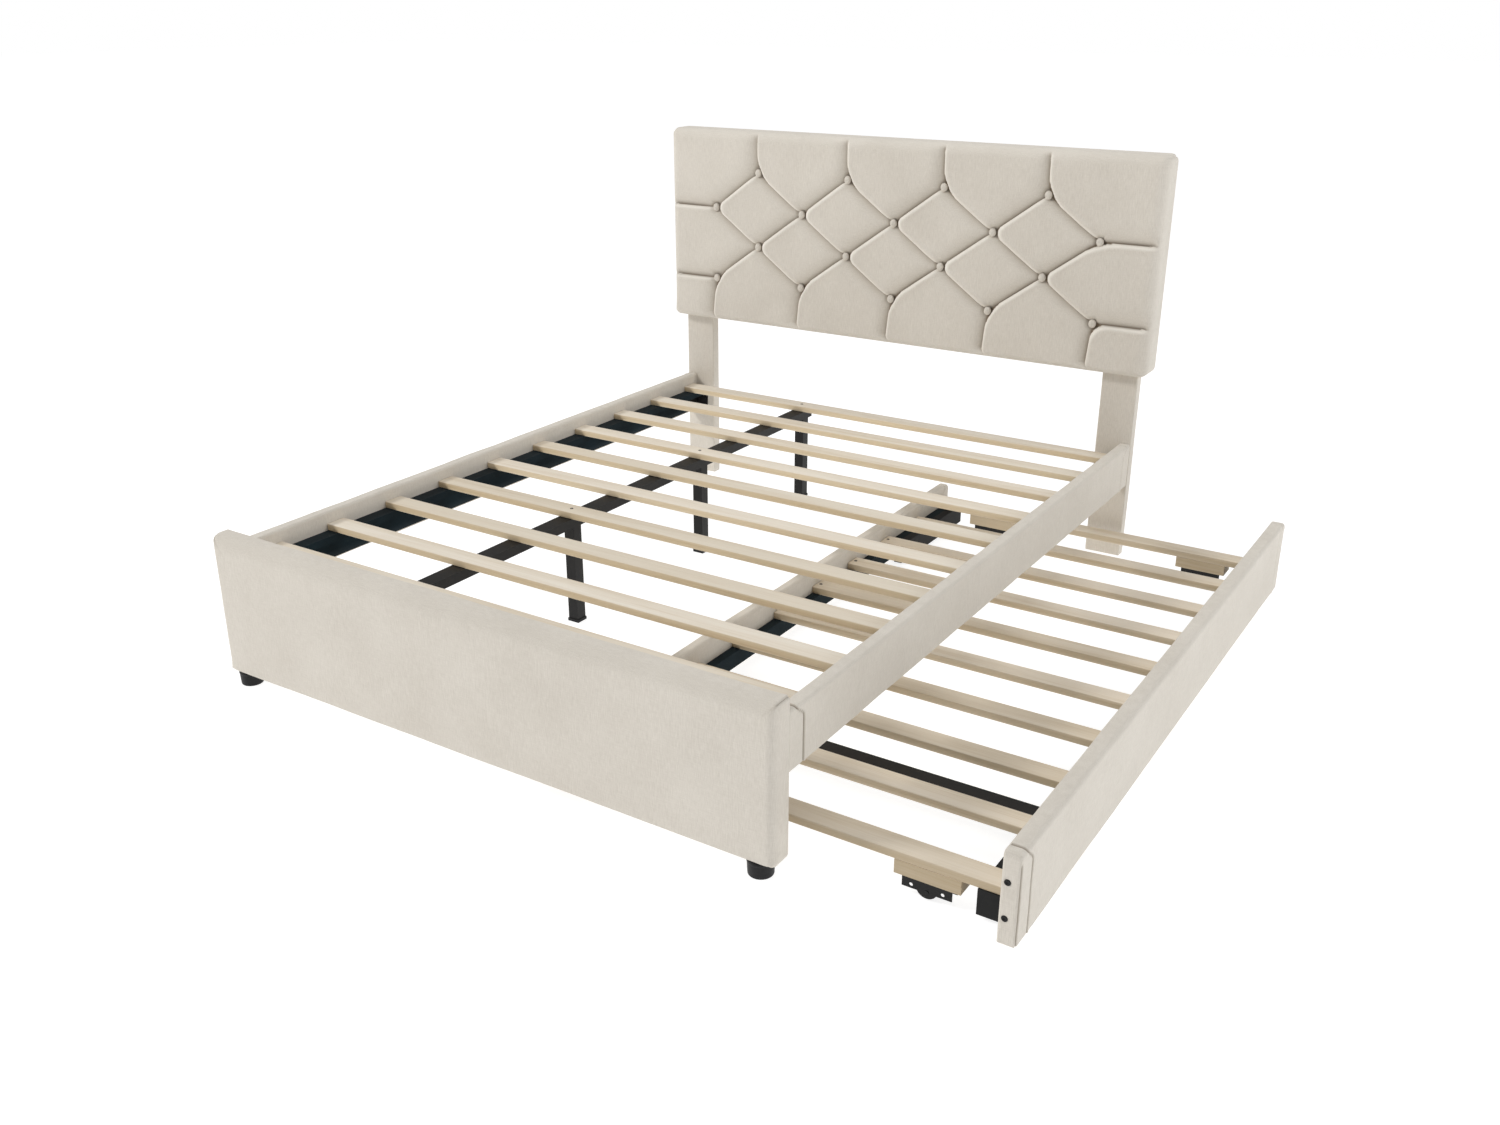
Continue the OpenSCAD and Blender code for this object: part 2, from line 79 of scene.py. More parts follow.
def make_camera():
    azimuth, elevation = math.radians(32.6), math.radians(22.4)
    data = bpy.data.cameras.new("camera")
    data.lens = 32.92
    data.sensor_width = 36
    data.clip_end = 200
    camera = add_object("camera", data)
    camera.location = (1.7339, -2.9204, 1.5888)
    camera.rotation_euler = (math.pi / 2 - elevation, 0, azimuth)
    bpy.context.scene.camera = camera


def area_light(name, place, target, size, power, colour=(1, 1, 1)):
    data = bpy.data.lights.new(name, "AREA")
    data.shape = "RECTANGLE"
    data.size, data.size_y = size
    data.energy = power
    data.color = colour
    lamp = add_object(name, data)
    lamp.location = place
    direction = Vector(target) - Vector(place)
    lamp.rotation_euler = direction.to_track_quat("-Z", "Y").to_euler()


def make_world(light, colour):
    """A plain white backdrop that lights the object less strongly than it shows."""
    world = bpy.data.worlds.new("studio")
    bpy.context.scene.world = world
    world.use_nodes = True
    tree = world.node_tree
    background = tree.nodes["Background"]
    background.inputs["Color"].default_value = (*colour, 1)
    path = tree.nodes.new("ShaderNodeLightPath")
    strength = tree.nodes.new("ShaderNodeMapRange")
    strength.inputs["To Min"].default_value = light
    strength.inputs["To Max"].default_value = 1.0
    tree.links.new(path.outputs["Is Camera Ray"], strength.inputs["Value"])
    tree.links.new(strength.outputs["Result"], background.inputs["Strength"])


def make_floor():
    bpy.ops.mesh.primitive_plane_add(size=80, location=(0, 0, -0.0005))
    floor = bpy.context.object
    floor.name = "floor"
    g = Graph("floor_white", 0.9)
    g.set(Base_Color=(0.4, 0.4, 0.4, 1), Specular_IOR_Level=0.1, Emission_Color=(1, 1, 1, 1),
          Emission_Strength=0.84)
    floor.data.materials.append(g.material)


def make_studio():
    make_camera()
    make_world(0.40, (1.0, 1.0, 1.0))
    area_light("key", (-7.6, -6.2, 7.8), (0, 0.1, 0.4), (2.2, 2.2), 610, (1.0, 0.99, 0.975))
    area_light("fill", (7.0, 1.2, 3.2), (0.2, 0, 0.4), (4.0, 3.0), 150, (0.97, 0.985, 1.0))
    area_light("top", (0, 1.0, 5.2), (0, 0, 0.3), (4.0, 4.0), 58)
    make_floor()
    bpy.context.scene.view_settings.view_transform = "Standard"


# ---- Materials ----

class Graph:
    """Small helper that adds nodes to one material's tree."""

    def __init__(self, name, roughness, metallic=0.0):
        self.material = bpy.data.materials.new(name)
        self.material.use_nodes = True
        self.tree = self.material.node_tree
        self.shader = self.tree.nodes["Principled BSDF"]
        self.set(Roughness=roughness, Metallic=metallic)
        self.coords = self.add("TexCoord")

    def link(self, source, target):
        self.tree.links.new(source, target)

    @staticmethod
    def fill(node, values):
        """Sets inputs of a node by name, with underscores for the spaces."""
        for key, value in values.items():
            node.inputs[key.replace("_", " ")].default_value = value

    def set(self, **values):
        self.fill(self.shader, values)

    def add(self, kind, **values):
        node = self.tree.nodes.new("ShaderNode" + kind)
        self.fill(node, values)
        return node

    def axes(self, output):
        """The x, y and z of a place on the object or of the way its surface faces."""
        node = self.add("SeparateXYZ")
        self.link(self.coords.outputs[output], node.inputs[0])
        return node.outputs

    def scaled(self, scale):
        node = self.add("Mapping", Scale=scale)
        self.link(self.coords.outputs["Object"], node.inputs["Vector"])
        return node.outputs["Vector"]

    def noise(self, scale, detail=3.0, rough=0.5, distortion=0.0):
        node = self.add("TexNoise", Scale=1.0, Detail=detail, Roughness=rough, Distortion=distortion)
        self.link(self.scaled(scale), node.inputs["Vector"])
        return node.outputs["Fac"]

    def math(self, operation, a, b=None):
        node = self.add("Math")
        node.operation = operation
        for socket, value in zip(node.inputs, (a, b)):
            if value is None:
                continue
            if isinstance(value, (int, float)):
                socket.default_value = value
            else:
                self.link(value, socket)
        return node.outputs[0]

    def total(self, *shares):
        """The sum of sockets, each multiplied by its own share."""
        parts = [self.math("MULTIPLY", socket, share) for socket, share in shares]
        found = parts[0]
        for part in parts[1:]:
            found = self.math("ADD", found, part)
        return found

    def ramp(self, factor, stops):
        node = self.add("ValToRGB")
        elements = node.color_ramp.elements
        while len(elements) < len(stops):
            elements.new(0.5)
        for element, (position, colour) in zip(elements, stops):
            element.position = position
            element.color = (*colour, 1)
        self.link(factor, node.inputs["Fac"])
        return node.outputs["Color"]

    def mix(self, factor, a, b, blend="MIX"):
        node = self.add("Mix")
        node.data_type = "RGBA"
        node.blend_type = blend
        for socket, value in ((node.inputs[0], factor), (node.inputs[6], a), (node.inputs[7], b)):
            if isinstance(value, (int, float)):
                socket.default_value = value
            elif isinstance(value, tuple):
                socket.default_value = (*value, 1)
            else:
                self.link(value, socket)
        return node.outputs[2]

    def colour(self, source):
        self.link(source, self.shader.inputs["Base Color"])

    def roughness(self, factor, low, high):
        node = self.add("MapRange", To_Min=low, To_Max=high)
        self.link(factor, node.inputs["Value"])
        self.link(node.outputs["Result"], self.shader.inputs["Roughness"])

    def bump(self, height, strength, distance):
        node = self.add("Bump", Strength=strength, Distance=distance)
        self.link(height, node.inputs["Height"])
        self.link(node.outputs["Normal"], self.shader.inputs["Normal"])


def rgb(r, g, b):
    """sRGB bytes to a linear colour."""
    def linear(c):
        c /= 255
        return c / 12.92 if c <= 0.04045 else ((c + 0.055) / 1.055) ** 2.4
    return (linear(r), linear(g), linear(b))


def cloth_axes(g):
    """Two coordinates that run along the cloth, whichever way the surface faces."""
    x, y, z = g.axes("Object")
    facing = g.axes("Normal")
    side_on = g.math("GREATER_THAN", g.math("ABSOLUTE", facing[0]), 0.7)
    face_up = g.math("GREATER_THAN", g.math("ABSOLUTE", facing[2]), 0.7)

    def choose(switch, when_off, when_on):
        off = g.math("MULTIPLY", g.math("SUBTRACT", 1.0, switch), when_off)
        return g.math("ADD", off, g.math("MULTIPLY", switch, when_on))

    return choose(side_on, x, y), choose(face_up, z, y)


def upholstery_material(name):
    """Cream linen-look polyester: plain weave, uneven threads and a soft matt nap."""
    g = Graph(name, 0.92)
    thread_pitch = 0.0019
    waves = 2 * math.pi / thread_pitch
    wobble = g.noise((60, 60, 60), 2.0)
    warp, weft = (g.math("SINE", g.total((axis, waves), (wobble, 5.0))) for axis in cloth_axes(g))
    weave = g.math("MULTIPLY", warp, weft)
    slub_up = g.noise((900, 900, 60), 2.0, 0.6)
    slub_across = g.noise((50, 50, 800), 2.0, 0.6)
    slub = g.total((slub_up, 0.68), (slub_across, 0.32))
    fibre = g.noise((2600, 2600, 2600), 1.0)
    patches = g.noise((5, 5, 5), 3.0, 0.55)
    light, dark = rgb(222, 216, 206), rgb(203, 196, 185)
    base = g.ramp(g.total((slub, 0.75), (patches, 0.25)), [(0.37, dark), (0.63, light)])
    woven = g.math("ADD", g.math("MULTIPLY", weave, 0.5), 0.5)
    base = g.mix(g.math("MULTIPLY", woven, 0.10), base, tuple(c * 1.08 for c in light))
    fold = g.add("Attribute")
    fold.attribute_name = "fold"
    # The fold attribute carries painted colour: its positive part is painted shade, its negative part a
    # painted highlight.
    sunk = g.math("MAXIMUM", fold.outputs["Fac"], 0.0)
    painted_highlight = g.math("MAXIMUM", g.math("MULTIPLY", fold.outputs["Fac"], -1.0), 0.0)
    # Painted shade: pleats and seams darkened toward brown.
    base = g.mix(g.math("MULTIPLY", sunk, 0.85), base, rgb(112, 94, 72))
    # Painted highlight: pleat lips lightened.
    base = g.mix(g.math("MULTIPLY", painted_highlight, 0.65), base, rgb(246, 241, 232))
    g.colour(base)
    g.set(Sheen_Weight=0.22, Sheen_Roughness=0.55, Sheen_Tint=(1.0, 0.97, 0.92, 1),
          Specular_IOR_Level=0.18)
    g.bump(g.total((woven, 0.45), (slub, 0.9), (fibre, 0.25)), 0.35, 0.0006)
    return g.material


def pine_material(name, light, mid, dark, edge):
    """Planed softwood with its grain along the slat and fine pores; edge tints its upright faces darker
    and warmer, a painted shade.
    """
    g = Graph(name, 0.62)
    rings = g.noise((1.3, 26, 60), 3.0, 0.55, 0.6)
    fine = g.noise((6, 420, 420), 3.0, 0.6)
    pores = g.noise((22, 1500, 1500), 1.0)
    board = g.noise((0.15, 5.1, 0.15), 0.0)
    base = g.ramp(g.total((rings, 0.6), (fine, 0.4)), [(0.30, dark), (0.47, mid), (0.68, light)])
    warm = g.ramp(board, [(0.35, (0.92, 0.90, 0.86)), (0.65, (1.04, 1.04, 1.04))])
    base = g.mix(1.0, base, warm, "MULTIPLY")
    # Painted shade: faces that are not level are multiplied by the edge tint.
    upright = g.math("SUBTRACT", 1.0, g.math("ABSOLUTE", g.axes("Normal")[2]))
    base = g.mix(upright, base, g.mix(1.0, base, edge, "MULTIPLY"))
    g.colour(base)
    g.roughness(fine, 0.52, 0.72)
    g.set(Specular_IOR_Level=0.3)
    g.bump(g.total((fine, 0.6), (pores, 0.4)), 0.25, 0.0005)
    return g.material


def plywood_material():
    """Raw plywood: faint broad grain on its faces and plies along its edges."""
    g = Graph("plywood", 0.75)
    grain = g.noise((2, 30, 18), 3.0, 0.55, 0.8)
    plies = g.noise((900, 900, 8), 0.0)
    tone = g.total((grain, 0.7), (plies, 0.3))
    g.colour(g.ramp(tone, [(0.3, rgb(168, 134, 92)), (0.7, rgb(212, 184, 142))]))
    g.bump(grain, 0.2, 0.0006)
    return g.material


def lining_material():
    """Non-woven lining: matted fibres pressed with small dimples, a worn blue-black."""
    g = Graph("lining_cloth", 0.95)
    cells = g.add("TexVoronoi", Scale=480)
    g.link(g.coords.outputs["Object"], cells.inputs["Vector"])
    fibres = g.noise((700, 700, 700), 3.0, 0.7, 1.0)
    patches = g.noise((7, 7, 7), 3.0, 0.6)
    tone = g.total((fibres, 0.5), (patches, 0.5))
    g.colour(g.ramp(tone, [(0.34, rgb(8, 16, 19)), (0.66, rgb(22, 38, 45))]))
    g.set(Sheen_Weight=0.05, Specular_IOR_Level=0.12)
    g.bump(g.total((cells.outputs["Distance"], 0.6), (fibres, 1.0)), 0.4, 0.0004)
    return g.material


def powder_coat_material(name, low, high, roughness):
    """Black powder coat with a fine orange-peel surface and dusty, lighter patches."""
    g = Graph(name, roughness)
    peel = g.noise((1100, 1100, 1100), 2.0)
    dust = g.noise((16, 16, 16), 4.0, 0.65)
    g.colour(g.ramp(g.total((dust, 0.8), (peel, 0.2)), [(0.35, low), (0.70, high)]))
    g.roughness(dust, roughness - 0.08, roughness + 0.12)
    g.set(Coat_Weight=0.03, Coat_Roughness=0.4, Specular_IOR_Level=0.26)
    g.bump(peel, 0.22, 0.0003)
    return g.material


def fastener_material():
    """Black-oxide steel, worn brighter in places."""
    g = Graph("black_oxide", 0.5, 0.3)
    wear = g.noise((240, 240, 240), 3.0, 0.7)
    g.colour(g.ramp(wear, [(0.45, rgb(9, 9, 10)), (0.75, rgb(27, 26, 25))]))
    g.roughness(wear, 0.42, 0.62)
    g.bump(wear, 0.15, 0.0002)
    return g.material


def plastic_material(name, low, high, roughness):
    """Moulded plastic with a fine spark-eroded grain."""
    g = Graph(name, roughness)
    grain = g.noise((1500, 1500, 1500), 2.0)
    scuff = g.noise((45, 45, 45), 4.0, 0.7)
    g.colour(g.ramp(scuff, [(0.4, low), (0.75, high)]))
    g.roughness(scuff, roughness - 0.06, roughness + 0.14)
    g.set(Specular_IOR_Level=0.3)
    g.bump(grain, 0.2, 0.0002)
    return g.material


def painted_timber_material():
    """Timber stained matt black, its grain still felt through the paint."""
    g = Graph("black_timber", 0.68)
    grain = g.noise((160, 5, 160), 3.0, 0.6)
    rub = g.noise((14, 14, 14), 4.0, 0.65)
    g.colour(g.ramp(rub, [(0.35, rgb(18, 19, 19)), (0.72, rgb(36, 36, 36))]))
    g.roughness(rub, 0.58, 0.78)
    g.set(Specular_IOR_Level=0.24)
    g.bump(grain, 0.3, 0.0005)
    return g.material


def make_materials():
    # The last colour of each pine is its edge tint, painted shade on the slats' upright faces.
    pine = pine_material("pine_slat", rgb(234, 227, 214), rgb(227, 217, 201), rgb(213, 199, 177),
                         (0.91, 0.82, 0.66))
    # A copy of the pine for the trundle's slats and caster blocks, its upright faces painted much
    # darker as shade under the bed.
    pine_shaded_low = pine_material("pine_shaded_low_slat", rgb(236, 226, 211), rgb(228, 216, 197),
                             rgb(213, 197, 172), (0.63, 0.58, 0.49))
    return {
        "upholstery": upholstery_material("linen_cream"),
        "pine": pine,
        "pine_shaded_low": pine_shaded_low,
        "plywood": plywood_material(),
        "lining": lining_material(),
        "black_steel": powder_coat_material("powder_coat", rgb(9, 9, 9), rgb(24, 23, 22), 0.46),
        "black_fastener": fastener_material(),
        "black_plastic": plastic_material("black_plastic", rgb(11, 11, 12), rgb(24, 24, 25), 0.48),
        "wheel_nylon": plastic_material("wheel_nylon", rgb(30, 30, 32), rgb(56, 56, 58), 0.42),
        "black_timber": painted_timber_material(),
    }


# ---- Mesh building ----

def make_piece(name, points, faces, material, body, slot, nodes=(), fold=None):
    """A mesh piece from points in millimetres in the bed's own frame.

    fold is painted shade in a seam or pleat, from 0 to 1, or a painted highlight on a pleat's lip, from
    0 to -1.
    """
    mesh = bpy.data.meshes.new(name)
    mesh.from_pydata(to_frame(points).tolist(), [], faces)
    if fold is not None:
        attribute = mesh.attributes.new("fold", "FLOAT", "POINT")
        attribute.data.foreach_set("value", np.clip(fold, -1, 1).astype(np.float32))
    mesh.update()
    face_outward(mesh)
    mesh.shade_smooth()
    mesh.materials.append(material)
    piece = add_object(name, mesh)
    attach(piece, body)
    if nodes:
        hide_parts(*nodes)
    return piece


def face_outward(mesh):
    """Turns a closed mesh's faces over if they point inward."""
    mesh.calc_loop_triangles()
    co = np.empty(len(mesh.vertices) * 3)
    mesh.vertices.foreach_get("co", co)
    co = co.reshape(-1, 3)
    tri = np.empty(len(mesh.loop_triangles) * 3, np.int32)
    mesh.loop_triangles.foreach_get("vertices", tri)
    a, b, c = (co[tri.reshape(-1, 3)[:, k]] for k in range(3))
    if np.einsum("ij,ij->i", a, np.cross(b, c)).sum() < 0:
        mesh.flip_normals()


def smoothstep(t):
    t = np.clip(t, 0, 1)
    return t * t * (3 - 2 * t)


def spread(start, end, step, fine=()):
    """Positions from start to end about step apart, and closer inside the fine stretches."""
    at = [start]
    while at[-1] < end:
        here = step
        for low, high, small in fine:
            if low - step < at[-1] < high:
                here = min(here, small)
        at.append(at[-1] + here)
    at = np.array(at)
    return start + (at - start) * (end - start) / (at[-1] - start)


def ripple(seed, count, longest, shortest):
    """A smooth pseudo-random field over two coordinates, from seeded plane waves."""
    rng = np.random.default_rng(seed)
    angle = rng.uniform(0, math.pi, count)
    length = np.exp(rng.uniform(math.log(shortest), math.log(longest), count))
    phase = rng.uniform(0, 2 * math.pi, count)

    def field(u, v):
        total = np.zeros(np.broadcast(u, v).shape)
        for a, l, p in zip(angle, length, phase):
            total += np.sin((u * math.cos(a) + v * math.sin(a)) * 2 * math.pi / l + p)
        return total / math.sqrt(count)

    return field


def grid_quads(grid):
    """The four corners of each square of a grid of point numbers."""
    corners = [grid[:-1, :-1], grid[1:, :-1], grid[1:, 1:], grid[:-1, 1:]]
    return np.stack(corners, -1).reshape(-1, 4)


class Shell:
    """An upholstered board: a front grid, rings that roll over its edges, and a back grid.

    Its own coordinates are u along it, v up it and w into it from the front face. Edge radii
    are given as (front, back) for the ends, the top and the bottom, and corners holds the
    radii of the outline's bottom and top corners.
    """

    ARC = 9
    BLEND = 22.0

    def __init__(self, size, lines_u, lines_v, ends, top, bottom, corners, step=6.0):
        self.width, self.height, self.depth = size
        self.lines_u, self.lines_v = lines_u, lines_v
        self.corners = corners
        steps = max(2, int((self.depth - sum(ends)) / step))
        self.ends, self.top, self.bottom = (self.profile(r, steps) for r in (ends, top, bottom))
        self.walk_round()
        self.place_points()

    def profile(self, radii, steps):
        """Insets, depths and turns from the front grid's edge over the roll to the back's."""
        front, back = radii
        turn = np.linspace(0, math.pi / 2, self.ARC + 1)
        share = np.arange(1, steps) / steps
        side = front + (self.depth - front - back) * share
        inset = [front * (1 - np.sin(turn)), np.zeros(steps - 1), back * (1 - np.cos(turn))]
        depth = [front * (1 - np.cos(turn)), side, self.depth - back * (1 - np.sin(turn))]
        angle = [turn, np.full(steps - 1, math.pi / 2), math.pi / 2 + turn]
        return np.concatenate(inset), np.concatenate(depth), np.concatenate(angle)

    def walk_round(self):
        """Finds the front grid's outer points in order, and how far each belongs to an end."""
        nu, nv = self.shape = (len(self.lines_u), len(self.lines_v))
        loop = [(i, 0) for i in range(nu - 1)]
        loop += [(nu - 1, j) for j in range(nv - 1)]
        loop += [(i, nv - 1) for i in range(nu - 1, 0, -1)]
        loop += [(0, j) for j in range(nv - 1, 0, -1)]
        cols, rows = np.array(loop).T
        self.around = cols * nv + rows
        self.edge_u, self.edge_v = self.lines_u[cols], self.lines_v[rows]
        is_end = (cols == 0) | (cols == nu - 1)
        is_flat = ~is_end | (rows == 0) | (rows == nv - 1)
        to_end = np.minimum(self.edge_u - self.lines_u[0], self.lines_u[-1] - self.edge_u)
        to_flat = np.minimum(self.edge_v - self.lines_v[0], self.lines_v[-1] - self.edge_v)
        on_end = 1 - 0.5 * smoothstep(1 - to_flat / self.BLEND)
        off_end = 0.5 * smoothstep(1 - to_end / self.BLEND)
        self.end_share = np.where(is_end, on_end, off_end)
        self.upper = self.edge_v > (self.lines_v[0] + self.lines_v[-1]) / 2
        self.out_u = np.where(is_end, np.where(cols == 0, -1.0, 1.0), 0.0)
        self.out_v = np.where(is_flat, np.where(self.upper, 1.0, -1.0), 0.0)

    def place_points(self):
        last = len(self.ends[0]) - 1
        count, rim = self.shape[0] * self.shape[1], len(self.around)
        uu, vv = np.meshgrid(self.lines_u, self.lines_v, indexing="ij")
        front_u, front_v = self.round_corners(uu, vv, 0)
        back_u, back_v = self.outline(uu, vv, last)
        parts = [(front_u.ravel(), front_v.ravel(), np.zeros(count), np.zeros(count))]
        parts += [self.ring(k) for k in range(1, last)]
        parts.append((back_u.ravel(), back_v.ravel(), np.full(count, self.depth),
                      np.full(count, math.pi)))
        self.u, self.v, self.w, self.angle = (np.concatenate(column) for column in zip(*parts))
        self.front = np.arange(count)
        self.rings = [np.arange(rim) + count + rim * k for k in range(last - 1)]
        self.back = np.arange(count) + count + rim * (last - 1)

    def ring(self, k):
        """Places, depths and turns of the points at one step of the roll."""
        u, v = self.outline(self.edge_u, self.edge_v, k)
        share = self.end_share
        flat_depth = np.where(self.upper, self.top[1][k], self.bottom[1][k])
        flat_angle = np.where(self.upper, self.top[2][k], self.bottom[2][k])
        depth = share * self.ends[1][k] + (1 - share) * flat_depth
        angle = share * self.ends[2][k] + (1 - share) * flat_angle
        return u, v, depth, angle

    def outline(self, u, v, k):
        """Moves front grid places to where the outline is at one step of the roll."""
        end, low, high = self.ends[0][k], self.bottom[0][k], self.top[0][k]
        u = self.stretch(u, self.lines_u, self.width, end, end)
        v = self.stretch(v, self.lines_v, self.height, low, high)
        return self.round_corners(u, v, k)

    @staticmethod
    def stretch(line, lines, extent, low_inset, high_inset):
        """Moves lines from the front grid's extent to the extent left by the insets given."""
        share = (line - lines[0]) / (lines[-1] - lines[0])
        return low_inset + share * (extent - low_inset - high_inset)

    def round_corners(self, u, v, k):
        """Rounds the outline's bottom and top corners at one step of the roll."""
        end, insets = self.ends[0][k], (self.bottom[0][k], self.top[0][k])
        u, v = u.copy(), v.copy()
        for at_top, (corner, inset) in enumerate(zip(self.corners, insets)):
            r = corner - end
            if r < 0.3:
                continue
            sign_v = -1 if at_top else 1
            centre_v = self.height - inset - r if at_top else inset + r
            for sign_u, centre_u in ((1, end + r), (-1, self.width - end - r)):
                du, dv = sign_u * (centre_u - u), sign_v * (centre_v - v)
                near = (du > 0) & (dv > 0)
                scale = np.maximum(du, dv)[near] / np.hypot(du, dv)[near]
                u[near] = centre_u - sign_u * du[near] * scale
                v[near] = centre_v - sign_v * dv[near] * scale
        return u, v

    def is_outer(self):
        """Whether each point is ahead of the roll onto the back."""
        return self.angle < math.pi / 2 + 0.05

    def faces(self, falling=None):
        """All faces. The front's squares are cut in two where falling says along which line."""
        front = grid_quads(self.front.reshape(self.shape))
        back = grid_quads(self.back.reshape(self.shape))
        found = front.tolist() if falling is None else self.cut(front, falling.ravel())
        found += back[:, ::-1].tolist()
        loops = [self.front[self.around], *self.rings, self.back[self.around]]
        for a, b in zip(loops, loops[1:]):
            found += np.stack([a, b, np.roll(b, -1), np.roll(a, -1)], -1).tolist()
        return found

    @staticmethod
    def cut(quads, falling):
        """Triangles whose shared edge follows the rising or the falling diagonal."""
        up, down = quads[~falling], quads[falling]
        found = up[:, [0, 1, 2]].tolist() + up[:, [0, 2, 3]].tolist()
        found += down[:, [0, 1, 3]].tolist() + down[:, [1, 2, 3]].tolist()
        return found


# ---- Headboard ----

# Heights of the button rows from the top down, and the distance between a row's buttons
ROW_HEIGHTS = (1062.0, 943.0, 826.0, 709.0)
BUTTON_PITCH = 329.0
HALF = BUTTON_PITCH / 2
# Depth of the pleats, width of their soft slopes and radius of their folded lips
PLEAT_DEPTH = 20.0
SLOPE_WIDTH = 62.0
LIP_RADIUS = 12.0
# Sideways lean of the pleats below the last row, for each millimetre down
LEAN = 0.09
# Radii of the cushion's front edges
EDGE_ROLL = 34.0
BOTTOM_ROLL = 18.0
# A distance that is well beyond the headboard
FAR = 2000.0


def button_places():
    """(x, z) of each button, rows alternating four and five."""
    found = []
    for row, z in enumerate(ROW_HEIGHTS):
        count = 4 if row % 2 == 0 else 5
        found += [((i - (count - 1) / 2) * BUTTON_PITCH, z) for i in range(count)]
    return found


def headboard_cells():
    """The padded cells between pleats, each a list of (point, inward normal) lines."""
    z1, z2, z3, z4 = ROW_HEIGHTS
    inner, outer = 3 * HALF, 4 * HALF

    def line(a, b):
        """The line from a to b with the cell on its left."""
        start = np.array(a, float)
        along = np.array(b, float) - start
        return start, np.array([-along[1], along[0]]) / np.hypot(*along)

    def ring(*points, closed=False):
        pairs = list(zip(points, points[1:]))
        if closed:
            pairs.append((points[-1], points[0]))
        return [line(a, b) for a, b in pairs]

    cells = []
    for x in (-1.5, -0.5, 0.5, 1.5):
        c = x * BUTTON_PITCH
        left, right = c - HALF, c + HALF
        cells.append(ring((c, z3), (right, z2), (c, z1), (left, z2), closed=True))
        cells.append(ring((right, 0), (right, z4), (c, z3), (left, z4), (left, 0)))
    for x in (-1, 0, 1):
        c = x * BUTTON_PITCH
        left, right = c - HALF, c + HALF
        cells.append(ring((c, z4), (right, z3), (c, z2), (left, z3), closed=True))
        cells.append(ring((left, FAR), (left, z1), (c, z2), (right, z1), (right, FAR)))
    cells.append(ring((-FAR, z2), (-outer, z2), (-inner, z1), (-inner, FAR)))
    cells.append(ring((inner, FAR), (inner, z1), (outer, z2), (FAR, z2)))
    cells.append(ring((-FAR, z4), (-outer, z4), (-inner, z3), (-outer, z2), (-FAR, z2)))
    cells.append(ring((FAR, z2), (outer, z2), (inner, z3), (outer, z4), (FAR, z4)))
    cells.append(ring((-outer, 0), (-outer, z4), (-FAR, z4)))
    cells.append(ring((FAR, z4), (outer, z4), (outer, 0)))
    return cells


def soft_min(distances, k):
    """The smallest of several distances, rounded where two are close."""
    found = distances[0]
    for d in distances[1:]:
        h = np.clip(0.5 + 0.5 * (d - found) / k, 0, 1)
        found = d * (1 - h) + found * h - k * h * (1 - h)
    return found


def is_crisp(normal):
    """Whether a cell rolls sharply over the side with this inward normal, as a folded lip."""
    return normal[0] > 0.01 or (abs(normal[0]) < 0.01 and normal[1] < 0)


def gentle_slopes(distances, shape):
    """Height share of a cell that falls away softly to its other sides, and crease: painted shade along
    those pleats.
    """
    height, crease = np.ones(shape), np.zeros(shape)
    for d in distances:
        height = height * (1 - np.clip(1 - d / SLOPE_WIDTH, 0, 1) ** 2.6)
        crease = np.maximum(crease, np.exp(-np.clip(d, 0, None) / 5.0))
    return height, crease


def crisp_lip(lip, height, crease):
    """Adds the folded lip's roll to a cell's height share, and a painted highlight on the lip to the
    crease.
    """
    # Painted shade right at the fold.
    crease = np.where(lip < 0.5, 1.0, crease)
    # Painted highlight a few millimetres in from the fold, along the lip.
    painted_highlight = np.exp(-((lip - 5.0) / 4.0) ** 2) * (lip > 1.5)
    crease = np.where(crease > 0.3, crease, crease - painted_highlight)
    t = np.clip(lip / LIP_RADIUS, 0, 1)
    height = height * np.sqrt(np.clip(1 - (1 - t) ** 2, 0, 1)) ** 0.9
    return height + 0.08 * np.exp(-((lip - 13.0) / 7.0) ** 2), crease


def tuft_field(x, z):
    """Height share (0 in a pleat, 1 on a crown), sideways pull of the folded lips, and fold: painted
    shade in pleats, painted highlight on lips.
    """
    height, fold = np.zeros(x.shape), np.zeros(x.shape)
    pull_x, pull_z = np.zeros(x.shape), np.zeros(x.shape)
    for cell in headboard_cells():
        sides = [((x - p[0]) * n[0] + (z - p[1]) * n[1], n) for p, n in cell]
        inside = np.min([d for d, _ in sides], axis=0) >= -1e-6
        crisp = [(d, n) for d, n in sides if is_crisp(n)]
        here, crease = gentle_slopes([d for d, n in sides if not is_crisp(n)], x.shape)
        if crisp:
            upright = any(n[0] > 0.99 for _, n in sides)
            lip = soft_min([d for d, _ in crisp], 52.0 if upright else 38.0)
            here, crease = crisp_lip(lip, here, crease)
            reach = 4.2 * np.exp(-np.clip(lip, 0, None) / 6.0) * np.clip(lip / 1.5, 0, 1)
            for d, n in crisp:
                pull = np.where(inside, reach * np.exp(-np.clip(d, 0, None) / 10.0), 0.0)
                pull_x = pull_x - n[0] * pull
                pull_z = pull_z - n[1] * pull
        height = np.where(inside, here, height)
        fold = np.where(inside & (fold <= 0.3), crease, fold)
    return height, pull_x, pull_z, fold


